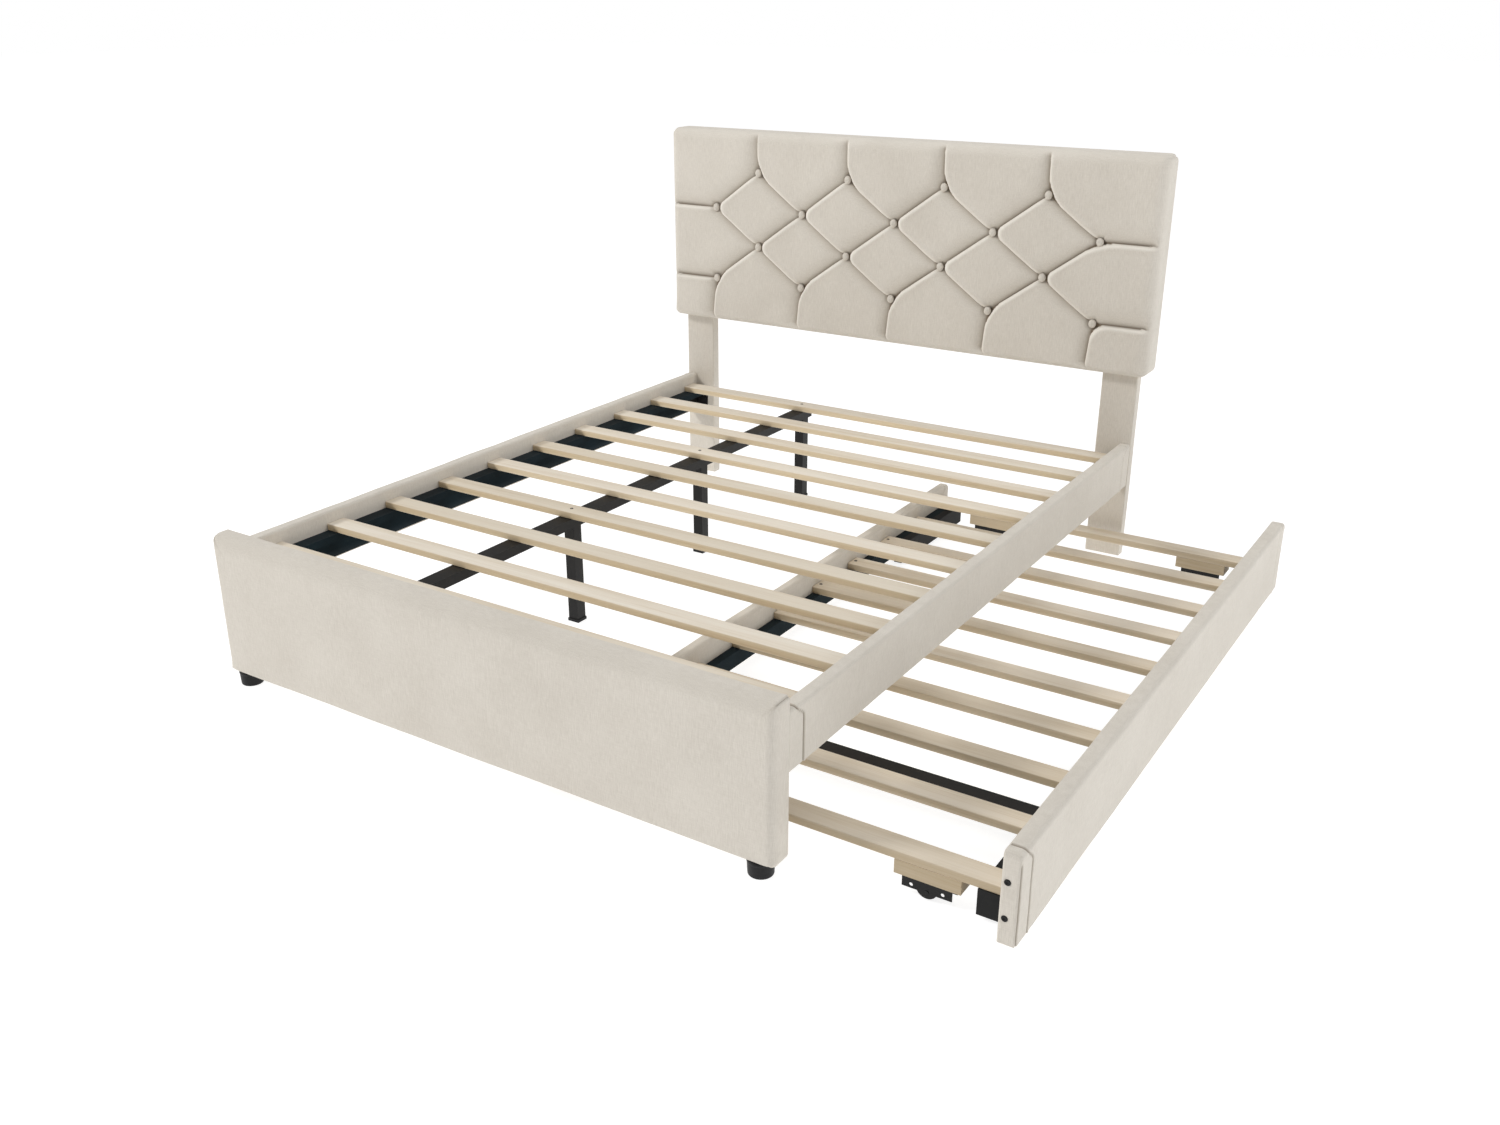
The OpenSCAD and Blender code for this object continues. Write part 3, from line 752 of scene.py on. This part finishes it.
def button_puckers(x, z):
    """Depth added round the buttons: the pocket each sits in and the gathers fanning from it."""
    rng = np.random.default_rng(11)
    depth = np.zeros(x.shape)
    for bx, bz in button_places():
        dx, dz = x - bx, z - bz
        r = np.hypot(dx, dz)
        angle = np.arctan2(dx, dz)
        depth += 9.0 * np.exp(-(r / 17.0) ** 4)
        gather = np.zeros(x.shape)
        for k in range(5):
            lean = (k - 2) * 0.34 + rng.uniform(-0.08, 0.08)
            reach = rng.uniform(16, 30)
            size = rng.uniform(1.4, 4.0)
            fold = np.exp(-((angle - lean) * np.clip(r, 6, 40) / 3.0) ** 2)
            gather += size * fold * smoothstep(r / 10) * np.exp(-np.clip(r - 12, 0, None) / reach * 1.6)
        below = np.abs(np.abs(angle) - math.pi)
        crease = np.exp(-(below * np.clip(r, 6, 30) / 3.0) ** 2)
        gather += 0.8 * crease * np.exp(-np.clip(r - 10, 0, None) / 10)
        depth += gather * (r < 80)
    return depth


def headboard_lines():
    """Grid lines that pass through every button, so that pleats run along the mesh."""
    cut = 40
    half_w = (PAD_HI.x - PAD_LO.x) / 2 / MM - EDGE_ROLL
    step = HALF / cut
    whole = int(half_w / step)
    lines_x = np.concatenate([[-half_w], np.arange(-whole, whole + 1) * step, [half_w]])
    z1, z2, z3, z4 = ROW_HEIGHTS
    z_lo, z_hi = PAD_LO.z / MM + BOTTOM_ROLL, PAD_HI.z / MM - EDGE_ROLL
    lines_z = [z_lo]
    for a, b, count in ((z_lo, z4, 24), (z4, z3, cut), (z3, z2, cut), (z2, z1, cut), (z1, z_hi, 22)):
        lines_z += list(a + (b - a) * np.arange(1, count + 1) / count)
    return lines_x, np.array(lines_z)


def falling_pleats(lines_x, lines_z):
    """Which grid squares are cut along the falling diagonal, to follow the nearest pleat."""
    mid_x = (lines_x[:-1] + lines_x[1:]) / 2
    mid_z = (lines_z[:-1] + lines_z[1:]) / 2
    x, z = np.meshgrid(mid_x, mid_z, indexing="ij")
    row = np.interp(z, ROW_HEIGHTS[::-1], (3.0, 2.0, 1.0, 0.0))
    s = x / HALF
    to_rising = np.abs((s + row) % 2 - 1)
    to_falling = np.abs((s - row) % 2 - 1)
    return to_falling < to_rising


def make_headboard(materials):
    lo, hi = node_box("headboard_pad")
    lines_x, lines_z = headboard_lines()
    size = (hi[0] - lo[0], hi[2] - lo[2], hi[1] - lo[1] - 1.0)
    shell = Shell(size, lines_x - lo[0], lines_z - lo[2], (EDGE_ROLL, 9), (EDGE_ROLL, 9),
                  (BOTTOM_ROLL, 7), (22.0, 22.0))
    x, z = shell.u + lo[0], shell.v + lo[2]
    height, pull_x, pull_z, fold = tuft_field(x, z)
    edge = np.minimum.reduce([x - lo[0], hi[0] - x, z - lo[2], hi[2] - z])
    rolled = smoothstep((edge - 3.0) / 22.0)
    ahead = shell.angle < math.pi / 2 + 0.01
    front = np.where(ahead, np.cos(np.minimum(shell.angle, math.pi / 2)), 0.0)
    fade = rolled * front
    sag = ripple(3, 9, 420, 120)(x, z) * 0.9 + ripple(5, 12, 70, 25)(x, z) * 0.22
    depth = PLEAT_DEPTH * (1 - height) * fade
    depth += button_puckers(x, z) * front
    depth += (sag + 0.9) * front * 0.7
    foam = node_box("headboard_frame")[0][1] - lo[1] - 2.0
    y = shell.w + lo[1] + np.minimum(depth, foam)
    x = x + pull_x * fade - LEAN * np.clip(ROW_HEIGHTS[-1] - z, 0, None) * fade
    z = z + pull_z * fade
    x = x - edge_dimples(x, z, shell.angle, lo, hi)
    x, y, z = mitre(x, y, z, shell, lo, hi)
    faces = shell.faces(falling_pleats(lines_x, lines_z))
    # fold * fade carries the painted shade in the pleats and the painted highlight on their lips.
    pad = make_piece("headboard_cushion", np.stack([x, y, z], -1), faces, materials["upholstery"],
                     "bed", "upholstery", ["headboard_pad"], fold * fade)


def edge_dimples(x, z, angle, lo, hi):
    """Sideways pull where each level pleat runs out on the rolled ends."""
    side = np.sign(x - (lo[0] + hi[0]) / 2)
    near_end = np.minimum(x - lo[0], hi[0] - x) < 20
    spot = sum(np.exp(-((z - height) / 7.0) ** 2) for height in (ROW_HEIGHTS[1], ROW_HEIGHTS[3]))
    return side * near_end * 2.6 * spot * np.exp(-((angle - 1.25) / 0.3) ** 2)


def mitre(x, y, z, shell, lo, hi):
    """Sinks a crease along both top corners, where the cover's folds meet."""
    in_x = np.minimum(x - lo[0], hi[0] - x)
    in_z = hi[2] - z
    corner = np.exp(-((in_x - in_z) / 4.0) ** 2)
    close = smoothstep(1 - np.maximum(in_x, in_z) / 52.0)
    roll = smoothstep(shell.angle / 0.5) * smoothstep((math.pi - shell.angle) / 0.6)
    dip = 3.2 * corner * close * np.maximum(roll, 0.35 * (shell.angle < 1.0))
    outward_x = np.sign(x - (lo[0] + hi[0]) / 2)
    x = x - outward_x * dip * 0.6
    z = z - dip * 0.6
    y = y + dip * 0.5 * np.cos(np.minimum(shell.angle, math.pi / 2))
    return x, y, z


def tube_faces(sides, levels):
    """Faces of a closed tube whose rings run counterclockwise, as seen from its far end."""
    faces = []
    for level in range(levels - 1):
        for k in range(sides):
            a, b = level * sides + k, level * sides + (k + 1) % sides
            faces.append((a, b, b + sides, a + sides))
    far = (levels - 1) * sides
    faces.append(tuple(range(sides - 1, -1, -1)))
    faces.append(tuple(range(far, far + sides)))
    return faces


def lathe(profile, sides):
    """Points and faces of a turned shape: profile is (radius, height) from its base up."""
    turn = np.arange(sides) * 2 * math.pi / sides
    points = [np.stack([r * np.cos(turn), r * np.sin(turn), np.full(sides, float(h))], -1)
              for r, h in profile]
    return np.concatenate(points), tube_faces(sides, len(profile))


def join(shapes):
    """Several (points, faces) as one."""
    points, faces, start = [], [], 0
    for p, f in shapes:
        points.append(p)
        faces += [tuple(i + start for i in face) for face in f]
        start += len(p)
    return np.concatenate(points), faces


def make_buttons(materials):
    """Fabric-covered buttons, domed, slightly taller than wide where the cloth pulls them."""
    front = node_box("headboard_pad")[0][1]
    rng = np.random.default_rng(4)
    turn = np.linspace(0, math.pi / 2, 8)
    profile = [(9.6, -6.0), (11.2, -3.6), (11.6, -1.2)]
    profile += [(11.6 * math.cos(a), 7.0 * math.sin(a)) for a in turn[:-1]]
    profile.append((0.6, 7.0))
    shapes = []
    for x, z in button_places():
        p, f = lathe(profile, 28)
        tilt = rng.uniform(-0.05, 0.05, 2)
        px = p[:, 0] * 0.95 + p[:, 2] * tilt[0]
        pz = p[:, 1] * 1.1 + p[:, 2] * tilt[1]
        py = front + 14.5 - p[:, 2] - 0.3 * np.cos(np.arctan2(pz, px) * 7)
        shapes.append((np.stack([px + x, py, pz + z], -1), f))
    buttons = make_piece("headboard_buttons", *join(shapes), materials["upholstery"],
                         "bed", "upholstery", ["tuft_buttons"])


# ---- Upholstered boards ----

# How far the covers of the footboard and the trundle's panels reach below their CAD boxes
SKIRT = 0.6
PANEL_BOLT_RADIUS = 5.0
# A point that has turned this far, in radians, lies on a cover's back
BACK_TURN = 2.9


def board_points(shell, lo, facing):
    """Turns a shell's own coordinates into the bed's, with its front face facing -y, +x or -x."""
    if facing == "-y":
        return np.stack([shell.u + lo[0], shell.w + lo[1], shell.v + lo[2]], -1)
    if facing == "+x":
        return np.stack([lo[0] + shell.depth - shell.w, shell.u + lo[1], shell.v + lo[2]], -1)
    return np.stack([lo[0] + shell.w, shell.u + lo[1], shell.v + lo[2]], -1)


def outward(shell):
    """Each point's outward direction in the shell's own coordinates, near enough for relief."""
    du, dv = np.zeros(len(shell.u)), np.zeros(len(shell.u))
    for ring in shell.rings:
        du[ring], dv[ring] = shell.out_u, shell.out_v
    size = np.maximum(np.hypot(du, dv), 1)
    side = np.sin(shell.angle)
    return du / size * side, dv / size * side, -np.cos(shell.angle)


def relieve(shell, height, behind=1.0):
    """Moves each point outward by height, in millimetres, or by a share of it on the back."""
    height = height * np.where(shell.angle < BACK_TURN, 1.0, behind)
    nu, nv, nw = outward(shell)
    shell.u = shell.u + nu * height
    shell.v = shell.v + nv * height
    shell.w = shell.w + nw * height


def mitre_dip(shell, size, width, reach):
    """Crease depth along the shell's two top corners."""
    w, h, _ = size
    in_u = np.minimum(shell.u, w - shell.u)
    in_v = h - shell.v
    near = smoothstep(1 - np.maximum(in_u, in_v) / reach)
    return np.exp(-((in_u - in_v) / width) ** 2) * near


def seam_dip(shell, length, height, place, bend, width):
    """A sewn seam near each end: upright below, curving toward the end at the top edge."""
    rise = smoothstep((shell.v - (height - bend)) / bend)
    line = place - rise * (place * 0.5)
    from_end = np.minimum(shell.u, length - shell.u)
    off = (from_end - line) / width
    groove = np.exp(-off ** 2)
    lip = np.exp(-((from_end - line - 2.2 * width) / (1.6 * width)) ** 2)
    return groove, lip


def seamed_relief(shell, size, seed, seam, depth):
    """Relief of a thin cover with a sewn seam near each end, and where the seam is sunk, for painted
    shade in the seam.
    """
    groove, lip = seam_dip(shell, size[0], size[1], *seam)
    outer = shell.is_outer()
    height = ripple(seed, 9, 700, 160)(shell.u, shell.v) * 0.45 - 0.5
    height += ripple(seed + 2, 12, 90, 30)(shell.u, shell.v) * 0.12
    height += np.where(outer, lip * 1.5 - groove * depth, 0.0)
    return height, groove * outer


def fine_ends(length, end, step, near, fine):
    """Grid lines along a board, closer together between the near places at both its ends."""
    low, high = near
    return spread(end, length - end, step, [(low, high, fine), (length - high, length - low, fine)])


def make_footboard(materials):
    lo, hi = node_box("footboard_cover")
    size = (hi[0] - lo[0], hi[2] - lo[2] + SKIRT, hi[1] - lo[1])
    lo = lo - np.array([0, 0, SKIRT])
    ends, top, bottom = (22.0, 4.0), (34.0, 7.0), (6.0, 4.0)
    lines_u = fine_ends(size[0], ends[0], 9.0, (0, 70), 3.0)
    lines_v = spread(bottom[0], size[1] - top[0], 8.0, [(size[1] - 80, size[1], 3.0)])
    shell = Shell(size, lines_u, lines_v, ends, top, bottom, (8.0, 8.0))
    soft = ripple(21, 10, 900, 240)(shell.u, shell.v) * 0.9
    soft += ripple(22, 14, 120, 40)(shell.u, shell.v) * 0.16
    on_face = np.abs(np.cos(shell.angle))
    height = (soft - 1.0) * (0.35 + 0.65 * on_face)
    roll = 1 - on_face
    crease = mitre_dip(shell, size, 3.0, 64.0)
    height -= crease * (1.2 + 3.2 * roll)
    relieve(shell, height)
    # The last argument paints shade along the mitre creases, most where they cross the roll.
    pad = make_piece("footboard_padding", board_points(shell, lo, "-y"), shell.faces(),
                     materials["upholstery"], "bed", "upholstery", ["footboard_cover"],
                     crease * (0.15 + 0.5 * roll))


def make_rail(materials, side):
    node = f"side_rail_{side}_cover"
    lo, hi = node_box(node)
    tuck = np.array([0, 4.0, 0])
    lo, hi = lo - tuck, hi + tuck
    size = (hi[1] - lo[1], hi[2] - lo[2], hi[0] - lo[0])
    ends, top, bottom = (4.0, 3.0), (9.0, 7.0), (4.0, 3.0)
    lines_u = fine_ends(size[0], ends[0], 10.0, (10, 80), 1.6)
    lines_v = spread(bottom[0], size[1] - top[0], 5.0)
    shell = Shell(size, lines_u, lines_v, ends, top, bottom, (3.0, 3.0))
    height, sunk = seamed_relief(shell, size, 31, (54.0, 30.0, 2.0), 3.4)
    relieve(shell, height, 0.4)
    points = board_points(shell, lo, "+x" if side == "right" else "-x")
    # sunk paints shade into the seam grooves.
    pad = make_piece(f"side_rail_{side}_padding", points, shell.faces(), materials["upholstery"],
                     "bed", "upholstery", [node], sunk)


def make_trundle_panel(materials, which):
    node = f"trundle_{which}_cover"
    lo, hi = node_box(node)
    size = (hi[1] - lo[1], hi[2] - lo[2] + SKIRT, hi[0] - lo[0])
    lo = lo - np.array([0, 0, SKIRT])
    ends, top, bottom = (7.0, 6.0), (12.0, 5.0), (3.0, 3.0)
    lines_u = fine_ends(size[0], ends[0], 10.0, (0, 75), 1.6)
    lines_v = spread(bottom[0], size[1] - top[0], 3.4)
    shell = Shell(size, lines_u, lines_v, ends, top, bottom, (5.0, 13.0), 2.4)
    height, sunk = seamed_relief(shell, size, 41, (55.0, 36.0, 1.7), 3.2)
    from_end = np.minimum(shell.u, size[0] - shell.u)
    below_top = smoothstep((size[1] - 16 - shell.v) / 14)
    edge_crease = np.exp(-((from_end - 5.5) / 2.4) ** 2) * shell.is_outer() * below_top
    height -= 4.2 * edge_crease
    if which == "front":
        for bolt_w, bolt_v in panel_bolt_places(lo, hi):
            off = np.hypot(shell.w - bolt_w, shell.v - bolt_v)
            height -= 2.4 * np.exp(-(off / 9.0) ** 2) * (from_end < 3.0)
    relieve(shell, height, 0.4)
    # The last argument paints shade into the seam grooves and the crease down each end's edge.
    pad = make_piece(f"trundle_{which}_padding", board_points(shell, lo, "+x"), shell.faces(),
                     materials["upholstery"], "trundle", "upholstery", [node],
                     np.maximum(sunk, edge_crease))


def panel_bolt_places(lo, hi):
    """Depth from the outer face and height up the panel of each bolt in the front panel's end."""
    b_lo, b_hi = node_box("panel_bolts")
    radius = PANEL_BOLT_RADIUS
    depth = hi[0] - (b_lo[0] + b_hi[0]) / 2
    return [(depth, b_lo[2] + radius - lo[2]), (depth, b_hi[2] - radius - lo[2])]


def make_panel_bolts(materials):
    """Socket-head bolts sunk nearly flush in the ends of the front panel."""
    lo, hi = node_box("trundle_front_cover")
    profile = [(6.5, -6.0), (6.5, 0.2), (5.98, 0.7), (5.2, 0.9), (3.77, 0.9), (3.38, 0.6),
               (3.25, -0.5), (0.52, -0.6)]
    shapes = []
    for depth, height in panel_bolt_places(lo, hi):
        p, f = lathe(profile, 30)
        inner = np.hypot(p[:, 0], p[:, 1]) < 3.5
        angle = np.arctan2(p[:, 1], p[:, 0])
        flat = 1 / np.cos((angle + math.pi / 6) % (math.pi / 3) - math.pi / 6)
        p[:, :2] *= np.where(inner, flat * 0.93, 1.0)[:, None]
        for end_y, sign in ((lo[1], -1), (hi[1], 1)):
            y = end_y + sign * (p[:, 2] - 1.0)
            shapes.append((np.stack([hi[0] - depth + p[:, 0], y, lo[2] + height + p[:, 1]], -1),
                           f if sign < 0 else [face[::-1] for face in f]))
    make_piece("panel_bolt_heads", *join(shapes), materials["black_fastener"], "trundle",
               "black_fastener", ["panel_bolts"])


def make_leg(materials, side):
    """A fabric-wrapped headboard leg, its cover turned in and sewn up the middle of its back."""
    node = f"headboard_leg_{side}"
    lo, hi = node_box(node)
    size = (hi[0] - lo[0], hi[2] - lo[2], hi[1] - lo[1])
    ends, top, bottom = (4.0, 4.0), (4.0, 4.0), (3.0, 3.0)
    lines_u = spread(ends[0], size[0] - ends[0], 2.5)
    lines_v = spread(bottom[0], size[1] - top[0], 12.0)
    shell = Shell(size, lines_u, lines_v, ends, top, bottom, (3.0, 3.0))
    height = ripple(51, 8, 500, 120)(shell.u, shell.v) * 0.25 - 0.3
    back = shell.angle > 3.0
    groove = np.exp(-((shell.u - size[0] / 2) / 1.6) ** 2)
    lip = np.exp(-((shell.u - size[0] / 2 - 4.0) / 2.6) ** 2)
    height += np.where(back, lip * 0.7 - groove * 1.6, 0.0)
    relieve(shell, height)
    # The back seam's groove is passed as painted shade.
    pad = make_piece(f"headboard_leg_{side}_wrap", board_points(shell, lo, "-y"), shell.faces(),
                     materials["upholstery"], "bed", "upholstery", [node], groove * back * 0.8)


# ---- Sheets ----

def sheet_piece(name, corners, away, material, seed):
    """A thin cloth stapled flat between its low and high corners, rippling away from its board."""
    low, high = np.array(corners[0], float), np.array(corners[1], float)
    span = high - low
    thin = int(np.argmin(span))
    a, b = [k for k in range(3) if k != thin]
    na, nb = max(4, int(span[a] / 14)), max(4, int(span[b] / 14))
    share_a, share_b = np.meshgrid(np.linspace(0, 1, na), np.linspace(0, 1, nb), indexing="ij")
    at_a, at_b = share_a * span[a], share_b * span[b]
    wave = away * 0.5 * np.abs(ripple(seed, 10, 400, 60)(at_a, at_b))
    wave = wave * smoothstep(np.minimum.reduce([at_a, at_b, span[a] - at_a, span[b] - at_b]) / 30)
    points = np.zeros((2, na, nb, 3))
    points[..., a] = low[a] + at_a
    points[..., b] = low[b] + at_b
    points[..., thin] = low[thin] + wave
    points[1, ..., thin] += span[thin]
    count = na * nb
    index = np.arange(count).reshape(na, nb)
    quads = grid_quads(index)
    faces = quads.tolist() + (quads[:, ::-1] + count).tolist()
    rim = [*index[:, 0], *index[-1, 1:], *index[-2::-1, -1], *index[0, -2:0:-1]]
    for p, q in zip(rim, rim[1:] + rim[:1]):
        faces.append([int(p), int(p) + count, int(q) + count, int(q)])
    piece = make_piece(name, points.reshape(-1, 3), faces, material, "bed", "lining")


def make_dust_cover(materials):
    lo, hi = node_box("headboard_pad")
    inset = 24.0
    back = hi[1] - 0.9
    low = (lo[0] + inset, back, lo[2] + inset)
    high = (hi[0] - inset, back + 1.0, hi[2] - inset)
    sheet_piece("headboard_dust_cover", (low, high), 1, materials["lining"], 61)


def make_rail_linings(materials):
    """Lining stapled over the lower inside face of each side rail, under its ledger."""
    for side, sign in (("left", -1), ("right", 1)):
        lo, hi = node_box(f"side_rail_{side}_cover")
        ledger = node_box(f"ledger_{side}")[0]
        face = hi[0] if side == "left" else lo[0]
        x0 = face + 0.1 if side == "left" else face - 1.1
        low = (x0, lo[1] + 6, lo[2] + 5)
        high = (x0 + 1.0, hi[1] - 6, ledger[2] - 1)
        sheet_piece(f"side_rail_{side}_lining", (low, high), -sign, materials["lining"],
                    71 + sign)


# ---- Slats ----

def eased_section(width, thickness, ease):
    """A board's cross-section as (y, z) points counterclockwise, its four edges eased."""
    far_y, far_z = width - ease, thickness - ease
    points = []
    for quarter, (y, z) in enumerate([(far_y, far_z), (ease, far_z), (ease, ease), (far_y, ease)]):
        for k in range(4):
            a = math.radians(90 * quarter + 30 * k)
            points.append((y + ease * math.cos(a), z + ease * math.sin(a)))
    return np.array(points)


def make_slat(name, node, body, material, seed):
    """A planed board with eased edges, very slightly bowed and twisted, as softwood is."""
    lo, hi = node_box(node)
    length = hi[0] - lo[0]
    size = np.array([hi[1] - lo[1], hi[2] - lo[2]])
    section = eased_section(*size, 2.2)
    rng = np.random.default_rng(seed)
    bow, twist = rng.uniform(-0.4, 0.4), rng.uniform(-0.5, 0.5)
    ends = np.array([0, 0.6, 1.6])
    at = np.concatenate([ends, np.linspace(8, length - 8, 40), length - ends[::-1]])
    pinch = np.concatenate([[1.4, 0.4, 0], np.zeros(40), [0, 0.4, 1.4]])
    points = []
    for x, p in zip(at, pinch):
        s = x / length
        yz = (section - size / 2) * (1 - p * 2 / size) + size / 2
        yz += [twist * math.sin(math.pi * s * 1.3), bow * math.sin(math.pi * s) * 0.6]
        points.append(np.column_stack([np.full(len(yz), x), yz]) + lo)
    make_piece(name, np.concatenate(points), tube_faces(len(section), len(at)), material, body,
               "pine", [node])


def make_slats(materials):
    for k in range(1, 11):
        make_slat(f"bed_slat_{k}", f"slat_{k}", "bed", materials["pine"], 100 + k)
        # The trundle's slats take the pine copy with painted shade.
        make_slat(f"low_slat_{k}", f"trundle_slat_{k}", "trundle", materials["pine_shaded_low"], 200 + k)


def screw_head(x, y, z):
    """A flat cross-recessed head, its top a little above the wood."""
    profile = [(4.4, -0.6), (4.6, 0.2), (4.2, 0.75), (3.0, 0.95), (2.2, 0.9), (1.4, -0.2), (0.3, -0.5)]
    p, f = lathe(profile, 24)
    angle = np.arctan2(p[:, 1], p[:, 0])
    inside = np.hypot(p[:, 0], p[:, 1]) < 3.1
    lobes = np.where(inside, 0.5 * np.cos(angle * 4), 0)
    p[:, 2] -= np.clip(lobes, 0, None)
    return p + np.array([x, y, z]), f


def make_screws(materials):
    bed_slats = ["slat_4", "slat_7", "slat_10"]
    low_slats = [f"trundle_slat_{k}" for k in range(1, 11)]
    for name, node, body, slats in (("bed_slat_screw_heads", "slat_screws", "bed", bed_slats),
                                    ("low_slat_screw_heads", "trundle_screws", "trundle", low_slats)):
        row_lo, row_hi = node_box(node)
        row_x = (row_lo[0] + row_hi[0]) / 2
        shapes = []
        for slat in slats:
            lo, hi = node_box(slat)
            shapes.append(screw_head(row_x, (lo[1] + hi[1]) / 2, hi[2]))
        make_piece(name, *join(shapes), materials["black_fastener"], body, "black_fastener", [node])


# ---- Feet ----

def make_feet(materials):
    """Tapered plastic glides with a rounded foot and a collar under the board."""
    lo, hi = node_box("footboard_feet")
    h = hi[2]
    r = (hi[1] - lo[1]) / 2
    profile = [(r - 4.5, 0), (r - 3.0, 0.5), (r - 2.2, 1.8), (r - 1.9, 4), (r - 0.9, h - 9),
               (r - 0.8, h - 7.5), (r - 0.3, h - 7.0), (r, h - 6.2), (r, h - 0.6), (r - 0.6, h)]
    shapes = []
    mid_y = (lo[1] + hi[1]) / 2
    for x in (lo[0] + r, hi[0] - r):
        p, f = lathe(profile, 56)
        shapes.append((p + np.array([x, mid_y, 0]), f))
    make_piece("footboard_glides", *join(shapes), materials["black_plastic"], "bed",
               "black_plastic", ["footboard_feet"])


# ---- CAD nodes that stay ----

def finish_cad_nodes(materials):
    slots = {s["node"]: s["material_slot"] for s in frame["record"]["subparts"]}
    eased = {"black_steel": 0.5, "lining": 1.5, "plywood": 0.4, "pine": 1.2, "black_plastic": 0.6,
             "black_timber": 1.2}
    for name, node in NODES.items():
        slot = slots.get(name, "black_steel")
        material = materials[slot]
        # The caster blocks take the pine copy with painted shade on its upright faces.
        if name == "caster_blocks":
            material = materials["pine_shaded_low"]
        node.data.materials.clear()
        node.data.materials.append(material)
        if slot in eased and not node.hide_render:
            bevel = node.modifiers.new("eased", "BEVEL")
            bevel.width = eased[slot] * MM
            bevel.segments = 2
            bevel.limit_method = "ANGLE"
            bevel.angle_limit = math.radians(40)
            bevel.harden_normals = True


def build():
    make_studio()
    materials = make_materials()
    make_headboard(materials)
    make_buttons(materials)
    make_footboard(materials)
    for side in ("left", "right"):
        make_rail(materials, side)
        make_leg(materials, side)
    for which in ("front", "rear"):
        make_trundle_panel(materials, which)
    make_panel_bolts(materials)
    make_dust_cover(materials)
    make_rail_linings(materials)
    make_slats(materials)
    make_screws(materials)
    make_feet(materials)
    finish_cad_nodes(materials)


build()
